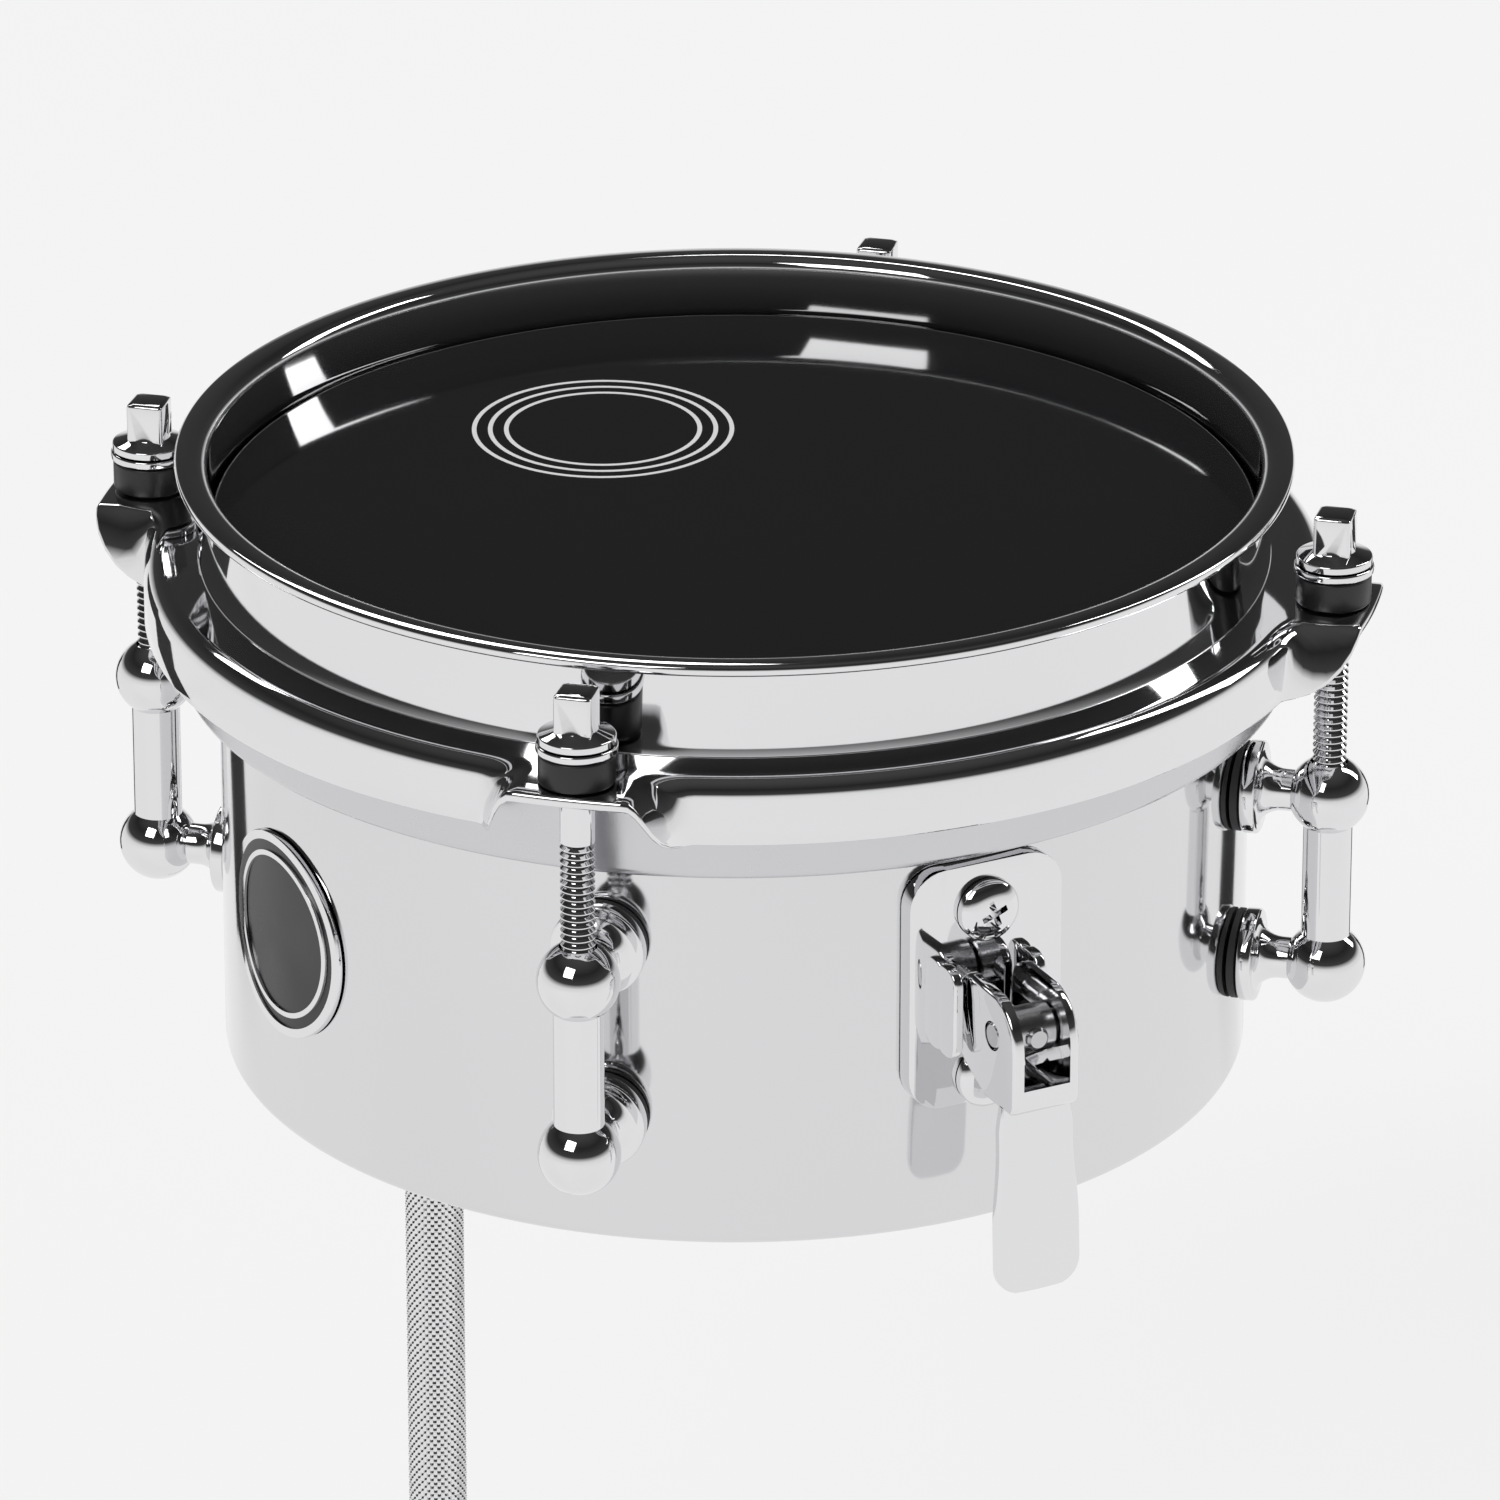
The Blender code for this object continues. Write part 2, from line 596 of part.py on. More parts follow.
def make_lug_screw(bench, name, azimuth, height):
    """A screw driven outwards from inside the shell into a lug's foot."""
    head_front = SHELL_INSIDE - SEAT_GAP - 0.1 * MM
    screw = pan_screw(SCREW_HEAD_RADIUS, SCREW_HEAD_THICK, FOOT_BACK + SCREW_BITE - head_front)
    where = around(azimuth, head_front, height)
    bench.part(screw, f"lug_screw_{name}", "steel", where, azimuth, RADIAL_IN)


def pan_screw(head_radius, head_thick, length, shank_radius=SCREW_SHANK_RADIUS):
    """A screw along local Z, its head above the origin and its shank below."""
    profile = [
        (0, head_thick),
        (head_radius * 0.6, head_thick * 0.9),
        (head_radius, head_thick * 0.4),
        (head_radius, 0),
        (shank_radius, 0),
        (shank_radius, -length),
        (0, -length),
    ]
    return turned(profile, 10)


# Strainer


def make_strainer_plate(bench, shell_bound):
    middle = PLATE_BOTTOM + PLATE_TALL / 2
    depth = PLATE_FRONT - SHELL_INSIDE
    outline = rounded_rectangle(PLATE_WIDTH, PLATE_TALL, PLATE_CORNER)
    front = (0, -(PLATE_FRONT - depth / 2), middle)
    plate = bench.part(slab(outline, depth, FACING_OUT, front), "strainer_plate", "chrome")
    reach = CHEEK_REACH + PLATE_THICK / 2
    for side in (-1, 1):
        across = side * (LEVER_WIDTH / 2 + 2 * SEAT_GAP + CHEEK_THICK / 2)
        cheek = slab(rounded_rectangle(reach, CHEEK_HEIGHT, CHEEK_THICK), CHEEK_THICK, SIDE_ON)
        out = PLATE_FRONT + CHEEK_REACH - reach / 2
        bench.cutter(cheek, "plate_cheek", (across, -out, PIVOT_HEIGHT))
        boolean(plate, "UNION", cheek)
    boolean(plate, "DIFFERENCE", shell_bound)
    rod_hole = pin(DRAW_ROD_RADIUS + BORE_GAP, 0, PLATE_FRONT + CUT_PAST)
    bench.cutter(rod_hole, "draw_rod_hole", (0, 0, PIVOT_HEIGHT), 0, RADIAL_OUT)
    boolean(plate, "DIFFERENCE", rod_hole)
    shell_hole(bench, 0, PIVOT_HEIGHT, DRAW_ROD_RADIUS + BORE_GAP)
    for name, height in plate_screw_heights(middle, PLATE_TALL, PLATE_SCREW_INSET, PLATE_LOW_SCREW_INSET):
        hole = pin(SCREW_SHANK_RADIUS + BORE_GAP, 0, PLATE_FRONT + CUT_PAST)
        bench.cutter(hole, f"strainer_screw_hole_{name}", (0, 0, height), 0, RADIAL_OUT)
        boolean(plate, "DIFFERENCE", hole)
        shell_hole(bench, 0, height, SCREW_SHANK_RADIUS + BORE_GAP)
        nut_front = SHELL_INSIDE - 2 * SEAT_GAP
        end = nut_front - NUT_THICK - 1 * MM
        seat = PLATE_FRONT + SEAT_GAP
        screw = pan_screw(PLATE_SCREW_HEAD_RADIUS, PLATE_SCREW_HEAD_THICK, seat - end)
        bench.part(screw, f"strainer_screw_{name}", "chrome", (0, -seat, height), 0, RADIAL_OUT)
        nut = ring(SCREW_SHANK_RADIUS + BORE_GAP, NUT_RADIUS, nut_front - NUT_THICK, nut_front, 6)
        bench.part(nut, f"strainer_nut_{name}", "steel", (0, 0, height), 0, RADIAL_OUT)


def plate_screw_heights(middle, tall, inset, low_inset):
    """The two screws of an upright plate, each this far from its end."""
    return (("top", middle + tall / 2 - inset), ("bottom", middle - tall / 2 + low_inset))


def lever_side():
    """The lever's side, as (outward, up) from its pivot."""
    corner = (LEVER_CORNER - LEVER_BACK, LEVER_TOP - LEVER_CORNER)
    points = arc(corner, LEVER_CORNER, 180, 90, 5)
    nose = LEVER_FRONT * 1.15
    points += arc((LEVER_FRONT - nose, LEVER_TOP - nose), nose, 75, 0, 6)
    foot = 2.0 * MM
    points += arc((LEVER_FRONT - foot, foot - LEVER_DROP), foot, 0, -90, 3)
    points += [(-LEVER_BELLY, -LEVER_DROP), (HEEL_RUN - LEVER_BACK, HEEL_RISE - LEVER_DROP)]
    points.append((-LEVER_BACK, HEEL_TOP - LEVER_DROP))
    return points


def handle_outline():
    """The paddle's front, as (across, down from the pivot): a waist below the head, then its full width."""
    top = -LEVER_DROP + LEVER_SHEET / 2
    bottom = top - HANDLE_LENGTH
    half, waist = HANDLE_WIDTH / 2, HANDLE_WAIST / 2
    right = [(LEVER_WIDTH / 2, top), (waist, top - HANDLE_LENGTH * 0.15), (waist, top - HANDLE_LENGTH * 0.35)]
    right += [(half - 0.2 * MM, top - HANDLE_LENGTH * 0.6), (half, top - HANDLE_LENGTH * 0.75)]
    right += arc((half - HANDLE_CORNER, bottom + HANDLE_CORNER), HANDLE_CORNER, 0, -90, 4)
    return [(-x, y) for x, y in right[::-1]] + right


def make_lever(bench):
    pivot = (0, -PIVOT_OUT, PIVOT_HEIGHT)
    lever = bench.part(slab(lever_side(), LEVER_WIDTH, SIDE_ON), "lever", "chrome", pivot)
    inside = (
        LEVER_WIDTH - 2 * LEVER_SHEET,
        LEVER_BACK + LEVER_FRONT - LEVER_SHEET + CUT_PAST,
        LEVER_TOP + LEVER_DROP - LEVER_SHEET + CUT_PAST,
    )
    centre = (0, inside[1] / 2 - (LEVER_FRONT - LEVER_SHEET), inside[2] / 2 - LEVER_DROP + LEVER_SHEET)
    channel = bench.cutter(block(inside, centre), "lever_channel", pivot)
    boolean(lever, "DIFFERENCE", channel)
    window = (inside[0], LEVER_FRONT + CUT_PAST, LEVER_TOP + LEVER_WINDOW_DROP + CUT_PAST)
    window_centre = (0, -window[1] / 2, window[2] / 2 - LEVER_WINDOW_DROP)
    boolean(lever, "DIFFERENCE", bench.cutter(block(window, window_centre), "lever_window", pivot))
    lean = Matrix.Rotation(-HANDLE_LEAN, 4, "X") @ FACING_OUT
    paddle = slab(handle_outline(), HANDLE_THICK, lean, (0, -HANDLE_FORWARD, 0))
    bench.cutter(paddle, "lever_paddle", pivot)
    boolean(lever, "UNION", paddle)
    eye = pin(TRUNNION_RADIUS + BORE_GAP, -LEVER_WIDTH, LEVER_WIDTH)
    bench.cutter(eye, "lever_eye", pivot, 0, (0, math.pi / 2, 0))
    boolean(lever, "DIFFERENCE", eye)
    half = LEVER_WIDTH / 2
    step = half - LEVER_SHEET - BORE_GAP
    profile = [(0, half), (TRUNNION_RADIUS, half), (TRUNNION_RADIUS, step), (BARREL_RADIUS, step)]
    profile += [(radius, -height) for radius, height in profile[::-1]]
    trunnion = bench.part(turned(profile, 20), "lever_pin", "steel", pivot, 0, (0, math.pi / 2, 0))
    cross = pin(DRAW_ROD_RADIUS + BORE_GAP, -BARREL_RADIUS - CUT_PAST, BARREL_RADIUS + CUT_PAST)
    bench.cutter(cross, "cross_hole", pivot, 0, RADIAL_OUT)
    boolean(trunnion, "DIFFERENCE", cross)


# Draw rod and snares, inside the shell


def make_draw_rod(bench):
    head_front = CARRIER_BACK - SEAT_GAP
    end = PIVOT_OUT + DRAW_ROD_PAST_PIN
    profile = [
        (0, end),
        (DRAW_ROD_RADIUS, end),
        (DRAW_ROD_RADIUS, head_front),
        (DRAW_HEAD_RADIUS, head_front),
        (DRAW_HEAD_RADIUS, head_front - DRAW_HEAD_THICK),
        (0, head_front - DRAW_HEAD_THICK),
    ]
    bench.part(turned(profile, 16), "draw_rod", "steel", (0, 0, PIVOT_HEIGHT), 0, RADIAL_OUT)


def upright(top, bottom, front, thick, width, shelf_depth):
    """An upright strap inside the shell, whose top bends inwards into a level shelf."""
    back = front - thick
    inner = front - shelf_depth
    side = [(front, top), (inner, top), (inner, top - SHELF_THICK), (back, top - SHELF_THICK)]
    side += [(back, bottom), (front, bottom)]
    return slab(side, width, SIDE_ON)


def make_snare_carrier(bench):
    bottom = PIVOT_HEIGHT - DRAW_HEAD_RADIUS - CARRIER_BELOW_ROD
    strap = upright(SNARE_SHELF_TOP, bottom, CARRIER_FRONT, CARRIER_THICK, CARRIER_WIDTH, SHELF_DEPTH)
    carrier = bench.part(strap, "snare_carrier", "steel")
    hole = pin(DRAW_ROD_RADIUS + BORE_GAP, CARRIER_BACK - CUT_PAST, CARRIER_FRONT + CUT_PAST)
    bench.cutter(hole, "carrier_hole", (0, 0, PIVOT_HEIGHT), 0, RADIAL_OUT)
    boolean(carrier, "DIFFERENCE", hole)


def make_snare_wires(bench):
    near = CARRIER_FRONT
    far = BUTT_FRONT - BUTT_THICK - 2 * MM
    across = (STRAND_COUNT - 1) * STRAND_PITCH
    plate = (across + 2 * SNARE_PLATE_MARGIN, SNARE_PLATE_DEPTH, SNARE_PLATE_THICK)
    height = SNARE_PLATE_TOP - SNARE_PLATE_THICK / 2
    wires = block(plate, (0, -(near - SNARE_PLATE_DEPTH / 2), height))
    bench.part(wires, "snare_wires", "steel")
    far_plate = block(plate, (0, far - SNARE_PLATE_DEPTH / 2, height))
    boolean(wires, "UNION", bench.cutter(far_plate, "far_snare_plate"))
    for index in range(STRAND_COUNT):
        x = index * STRAND_PITCH - across / 2
        strand = pin(STRAND_RADIUS, -far + 1 * MM, near - 1 * MM, 6)
        bench.cutter(strand, f"strand_{index + 1}", (x, 0, STRAND_HEIGHT), 0, RADIAL_OUT)
        boolean(wires, "UNION", strand)


def make_butt_bracket(bench):
    bottom = BRACKET_MIDDLE - BRACKET_TALL / 2
    strap = upright(SNARE_SHELF_TOP, bottom, BUTT_FRONT, BUTT_THICK, CARRIER_WIDTH, BUTT_SHELF_DEPTH)
    butt = bench.part(strap, "butt_bracket", "steel", azimuth=180)
    for name, height in plate_screw_heights(*BRACKET_SCREWS):
        hole = pin(SCREW_SHANK_RADIUS + BORE_GAP, SHELL_INSIDE - 10 * MM, PLATE_FRONT + CUT_PAST)
        bench.cutter(hole, f"bracket_screw_hole_{name}", (0, 0, height), 180, RADIAL_OUT)
        boolean(butt, "DIFFERENCE", hole)
        shell_hole(bench, 180, height, SCREW_SHANK_RADIUS + BORE_GAP)


# Mounting rod and its bracket


def make_rod_bracket(bench, shell_bound):
    depth = PLATE_FRONT - SHELL_INSIDE
    outline = rounded_rectangle(BRACKET_WIDTH, BRACKET_TALL, PLATE_CORNER)
    plate = slab(outline, depth, FACING_OUT, (0, -(PLATE_FRONT - depth / 2), BRACKET_MIDDLE))
    bracket = bench.part(plate, "rod_bracket", "chrome", azimuth=180)
    web_reach = MOUNT_ROD_OUT - PLATE_FRONT + PLATE_THICK / 2
    web = block(
        (WEB_WIDTH, web_reach, WEB_HEIGHT),
        (0, -(MOUNT_ROD_OUT - web_reach / 2), BRACKET_MIDDLE),
    )
    boolean(bracket, "UNION", bench.cutter(web, "bracket_web", azimuth=180))
    low, high = BRACKET_MIDDLE - BOSS_HEIGHT / 2, BRACKET_MIDDLE + BOSS_HEIGHT / 2
    chamfer = 1.0 * MM
    profile = [(0, high), (BOSS_RADIUS - chamfer, high), (BOSS_RADIUS, high - chamfer)]
    profile += [(BOSS_RADIUS, low + chamfer), (BOSS_RADIUS - chamfer, low), (0, low)]
    boss = bench.cutter(turned(profile, 28), "bracket_boss", (0, MOUNT_ROD_OUT, 0))
    boolean(bracket, "UNION", boss)
    boolean(bracket, "DIFFERENCE", shell_bound)
    bore = pin(MOUNT_ROD_RADIUS + BORE_GAP, low - CUT_PAST, high + CUT_PAST, 24)
    boolean(bracket, "DIFFERENCE", bench.cutter(bore, "bracket_bore", (0, MOUNT_ROD_OUT, 0)))
    wing_hole = pin(WING_SHANK_RADIUS + BORE_GAP, MOUNT_ROD_OUT, MOUNT_ROD_OUT + BOSS_RADIUS + CUT_PAST)
    bench.cutter(wing_hole, "wing_screw_hole", (0, 0, BRACKET_MIDDLE), 180, RADIAL_OUT)
    boolean(bracket, "DIFFERENCE", wing_hole)
    for name, height in plate_screw_heights(*BRACKET_SCREWS):
        hole = pin(SCREW_SHANK_RADIUS + BORE_GAP, 0, PLATE_FRONT + CUT_PAST)
        bench.cutter(hole, f"bracket_plate_hole_{name}", (0, 0, height), 180, RADIAL_OUT)
        boolean(bracket, "DIFFERENCE", hole)
        seat = PLATE_FRONT + SEAT_GAP
        end = BUTT_FRONT - BUTT_THICK - 1 * MM
        screw = pan_screw(PLATE_SCREW_HEAD_RADIUS, PLATE_SCREW_HEAD_THICK, seat - end)
        bench.part(screw, f"bracket_screw_{name}", "chrome", (0, seat, height), 180, RADIAL_OUT)


def make_wing_screw(bench):
    tip = MOUNT_ROD_RADIUS + SEAT_GAP
    hub_start = BOSS_RADIUS + SEAT_GAP
    hub_end = hub_start + WING_HUB_LENGTH
    profile = [
        (0, hub_end),
        (WING_HUB_RADIUS * 0.7, hub_end),
        (WING_HUB_RADIUS, hub_start),
        (WING_SHANK_RADIUS, hub_start),
        (WING_SHANK_RADIUS, tip),
        (0, tip),
    ]
    where = (0, MOUNT_ROD_OUT, BRACKET_MIDDLE)
    screw = bench.part(turned(profile, 16), "wing_screw", "chrome", where, 180, RADIAL_OUT)
    outline = rounded_rectangle(WING_SPAN, WING_HEIGHT, WING_HEIGHT * 0.45)
    stand = Matrix.Rotation(math.pi / 2, 4, "X")
    wings = slab(outline, WING_THICK, stand, (0, 0, hub_end - WING_HEIGHT * 0.2))
    bench.cutter(wings, "wings", where, 180, RADIAL_OUT)
    boolean(screw, "UNION", wings)


def make_mounting_rod(bench):
    """The rod alone doesn't stand under the drum's empty: it holds the frame's origin."""
    radius, top, chamfer = MOUNT_ROD_RADIUS, MOUNT_ROD_LENGTH, MOUNT_ROD_CHAMFER
    profile = [(0, top), (radius - chamfer, top), (radius, top - chamfer)]
    profile += [(radius, chamfer), (radius - chamfer, 0), (0, 0)]
    rod = bench.part(turned(profile, 24), "mounting_rod", "steel")
    rod.parent = None


def clear_scene():
    for obj in list(bpy.data.objects):
        bpy.data.objects.remove(obj)


def main():
    clear_scene()
    bench = Bench()
    shell_bound = pin(SEAT_RADIUS, -5 * MM, SHELL_HEIGHT + 5 * MM, SHELL_SIDES)
    bench.cutter(shell_bound, "shell_bound")
    make_shell(bench)
    make_badge(bench)
    make_head(bench)
    make_counterhoop(bench)
    for side, azimuth in LUG_AZIMUTHS.items():
        make_tension_rod(bench, side, azimuth)
        make_lug(bench, side, azimuth, shell_bound)
    make_strainer_plate(bench, shell_bound)
    make_lever(bench)
    make_draw_rod(bench)
    make_snare_carrier(bench)
    make_snare_wires(bench)
    make_butt_bracket(bench)
    make_rod_bracket(bench, shell_bound)
    make_wing_screw(bench)
    make_mounting_rod(bench)


if __name__ == "__main__":
    main()
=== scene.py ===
"""Looks of the micro snare drum: every visible piece's surface, its finish, and the studio round it."""

import logging
import math
from dataclasses import dataclass, field
from enum import Enum

import bpy
from mathutils import Matrix, Vector

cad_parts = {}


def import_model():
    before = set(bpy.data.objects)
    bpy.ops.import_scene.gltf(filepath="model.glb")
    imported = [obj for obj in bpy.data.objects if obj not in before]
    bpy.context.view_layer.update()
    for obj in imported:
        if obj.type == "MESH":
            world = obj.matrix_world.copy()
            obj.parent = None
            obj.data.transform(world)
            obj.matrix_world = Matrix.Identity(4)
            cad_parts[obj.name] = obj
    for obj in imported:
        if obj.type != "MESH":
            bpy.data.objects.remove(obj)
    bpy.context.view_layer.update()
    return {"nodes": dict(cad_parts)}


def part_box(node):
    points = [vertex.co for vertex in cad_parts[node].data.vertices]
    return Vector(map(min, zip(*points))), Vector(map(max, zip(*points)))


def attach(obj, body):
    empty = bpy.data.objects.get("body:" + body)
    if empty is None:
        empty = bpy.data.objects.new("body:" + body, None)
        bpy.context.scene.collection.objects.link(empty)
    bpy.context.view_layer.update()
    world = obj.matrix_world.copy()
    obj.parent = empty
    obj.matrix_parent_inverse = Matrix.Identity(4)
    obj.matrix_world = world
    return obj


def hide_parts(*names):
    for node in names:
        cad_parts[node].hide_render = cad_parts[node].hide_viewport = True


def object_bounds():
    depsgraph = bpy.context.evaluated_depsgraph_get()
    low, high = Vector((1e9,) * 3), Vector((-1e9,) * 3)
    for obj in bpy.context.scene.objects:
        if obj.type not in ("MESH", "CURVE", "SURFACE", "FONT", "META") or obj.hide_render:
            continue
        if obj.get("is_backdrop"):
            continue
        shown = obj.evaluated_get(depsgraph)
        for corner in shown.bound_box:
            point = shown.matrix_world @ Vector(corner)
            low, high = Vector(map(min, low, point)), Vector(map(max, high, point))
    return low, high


MM = 0.001
log = logging.getLogger("snare_drum")

Point = tuple[float, float]
Triple = tuple[float, float, float]

UPRIGHT = (0.0, 0.0, 0.0)
CUT_PAST = 1.0 * MM


class Side(Enum):
    """The four tension rods, by their azimuth from the strainer in degrees."""

    FRONT = -41.4
    RIGHT = 48.6
    BACK = 138.6
    LEFT = -131.4

    @property
    def word(self) -> str:
        """The side's name as the nodes write it."""
        return self.name.lower()


class Facing(Enum):
    """Which way a turned piece's axis points once it stands at its azimuth."""

    UP = 0.0
    OUT = math.pi / 2
    IN = -math.pi / 2


@dataclass(frozen=True)
class Finish:
    """A surface finish: its shader's plain values and the fine relief that breaks its highlights.

    Attributes:
        name: The material's name.
        colour: Linear base colour.
        roughness: Mean roughness.
        metallic: 1 for bare or plated metal.
        wear: How far noise moves the roughness either way.
        grain: Size of that noise's cells in metres.
        relief: Height of the bump in metres; 0 leaves it out.
        relief_scale: Cells of the bump per metre.
        coat: Clear coat weight.
        stretch: How much longer a cell is around and up than across, for brushed metal.
    """

    name: str
    colour: Triple
    roughness: float
    metallic: float = 0.0
    wear: float = 0.03
    grain: float = 0.012
    relief: float = 0.0
    relief_scale: float = 400.0
    coat: float = 0.0
    stretch: Triple = (1.0, 1.0, 1.0)

    def make(self) -> bpy.types.Material:
        """Builds the material's nodes.

        Returns:
            The finished material.
        """
        made = bpy.data.materials.new(self.name)
        made.use_nodes = True
        nodes, links = made.node_tree.nodes, made.node_tree.links
        shader = nodes["Principled BSDF"]
        shader.inputs["Base Color"].default_value = (*self.colour, 1)
        shader.inputs["Metallic"].default_value = self.metallic
        shader.inputs["Coat Weight"].default_value = self.coat
        shader.inputs["Coat Roughness"].default_value = 0.05
        place = nodes.new("ShaderNodeTexCoord")
        stretch = nodes.new("ShaderNodeMapping")
        stretch.inputs["Scale"].default_value = self.stretch
        links.new(place.outputs["Object"], stretch.inputs["Vector"])
        noise = nodes.new("ShaderNodeTexNoise")
        noise.inputs["Scale"].default_value = 1 / self.grain
        noise.inputs["Detail"].default_value = 6
        links.new(stretch.outputs["Vector"], noise.inputs["Vector"])
        spread = nodes.new("ShaderNodeMapRange")
        spread.inputs["From Min"].default_value = 0.3
        spread.inputs["From Max"].default_value = 0.7
        spread.inputs["To Min"].default_value = max(self.roughness - self.wear, 0.01)
        spread.inputs["To Max"].default_value = self.roughness + self.wear
        links.new(noise.outputs["Fac"], spread.inputs["Value"])
        links.new(spread.outputs["Result"], shader.inputs["Roughness"])
        if self.relief:
            fine = nodes.new("ShaderNodeTexNoise")
            fine.inputs["Scale"].default_value = self.relief_scale
            fine.inputs["Detail"].default_value = 4
            links.new(stretch.outputs["Vector"], fine.inputs["Vector"])
            bump = nodes.new("ShaderNodeBump")
            bump.inputs["Distance"].default_value = self.relief
            bump.inputs["Strength"].default_value = 0.5
            links.new(fine.outputs["Fac"], bump.inputs["Height"])
            links.new(bump.outputs["Normal"], shader.inputs["Normal"])
        return made


@dataclass
class Finishes:
    """The drum's finishes, each made once and keyed by its own name."""

    chrome: Finish = Finish("polished_chrome", (0.80, 0.80, 0.81), 0.045, 1.0, wear=0.015)
    shell_chrome: Finish = Finish("shell_chrome", (0.74, 0.74, 0.75), 0.07, 1.0, wear=0.02, grain=0.02)
    flesh_silver: Finish = Finish("flesh_silver", (0.66, 0.66, 0.68), 0.26, 1.0, relief=0.00002)
    steel: Finish = Finish("plated_steel", (0.58, 0.58, 0.59), 0.24, 1.0, relief=0.00002)
    knurled_steel: Finish = Finish("knurled_steel", (0.82, 0.82, 0.83), 0.10, 1.0)
    black_film: Finish = Finish("black_film", (0.010, 0.010, 0.011), 0.06, coat=0.6, wear=0.02, grain=0.03)
    print_white: Finish = Finish("print_white", (0.80, 0.80, 0.80), 0.35, coat=0.3)
    black_plastic: Finish = Finish(
        "black_nylon", (0.014, 0.014, 0.015), 0.36, relief=0.00003, relief_scale=2500
    )
    dark_rubber: Finish = Finish("dark_gasket", (0.03, 0.03, 0.03), 0.6, relief=0.00004, relief_scale=2500)
    badge_enamel: Finish = Finish("badge_enamel", (0.006, 0.006, 0.008), 0.3, wear=0.05)
    made: dict[str, bpy.types.Material] = field(default_factory=dict)

    def get(self, name: str) -> bpy.types.Material:
        """The material of that name.

        Args:
            name: One of this class's finishes.

        Returns:
            The material, made on first use.
        """
        if name not in self.made:
            self.made[name] = getattr(self, name).make()
        return self.made[name]


def arc(centre: Point, radius: float, start: float, end: float, count: int) -> list[Point]:
    """Points on an arc.

    Args:
        centre: Its centre.
        radius: Its radius.
        start: First angle in degrees from +X.
        end: Last angle in degrees.
        count: Number of steps between them.

    Returns:
        count + 1 points.
    """
    turns = [math.radians(start + (end - start) * step / count) for step in range(count + 1)]
    return [(centre[0] + radius * math.cos(turn), centre[1] + radius * math.sin(turn)) for turn in turns]


def rounded_rectangle(width: float, height: float, radius: float, count: int = 8) -> list[Point]:
    """The outline of a rectangle with round corners about the origin.

    Args:
        width: Its whole width.
        height: Its whole height.
        radius: Its corners' radius.
        count: Steps in each corner.

    Returns:
        The outline's points, counter-clockwise.
    """
    x, y = width / 2 - radius, height / 2 - radius
    corners = (((x, y), 0), ((-x, y), 90), ((-x, -y), 180), ((x, -y), 270))
    return [point for centre, turn in corners for point in arc(centre, radius, turn, turn + 90, count)]


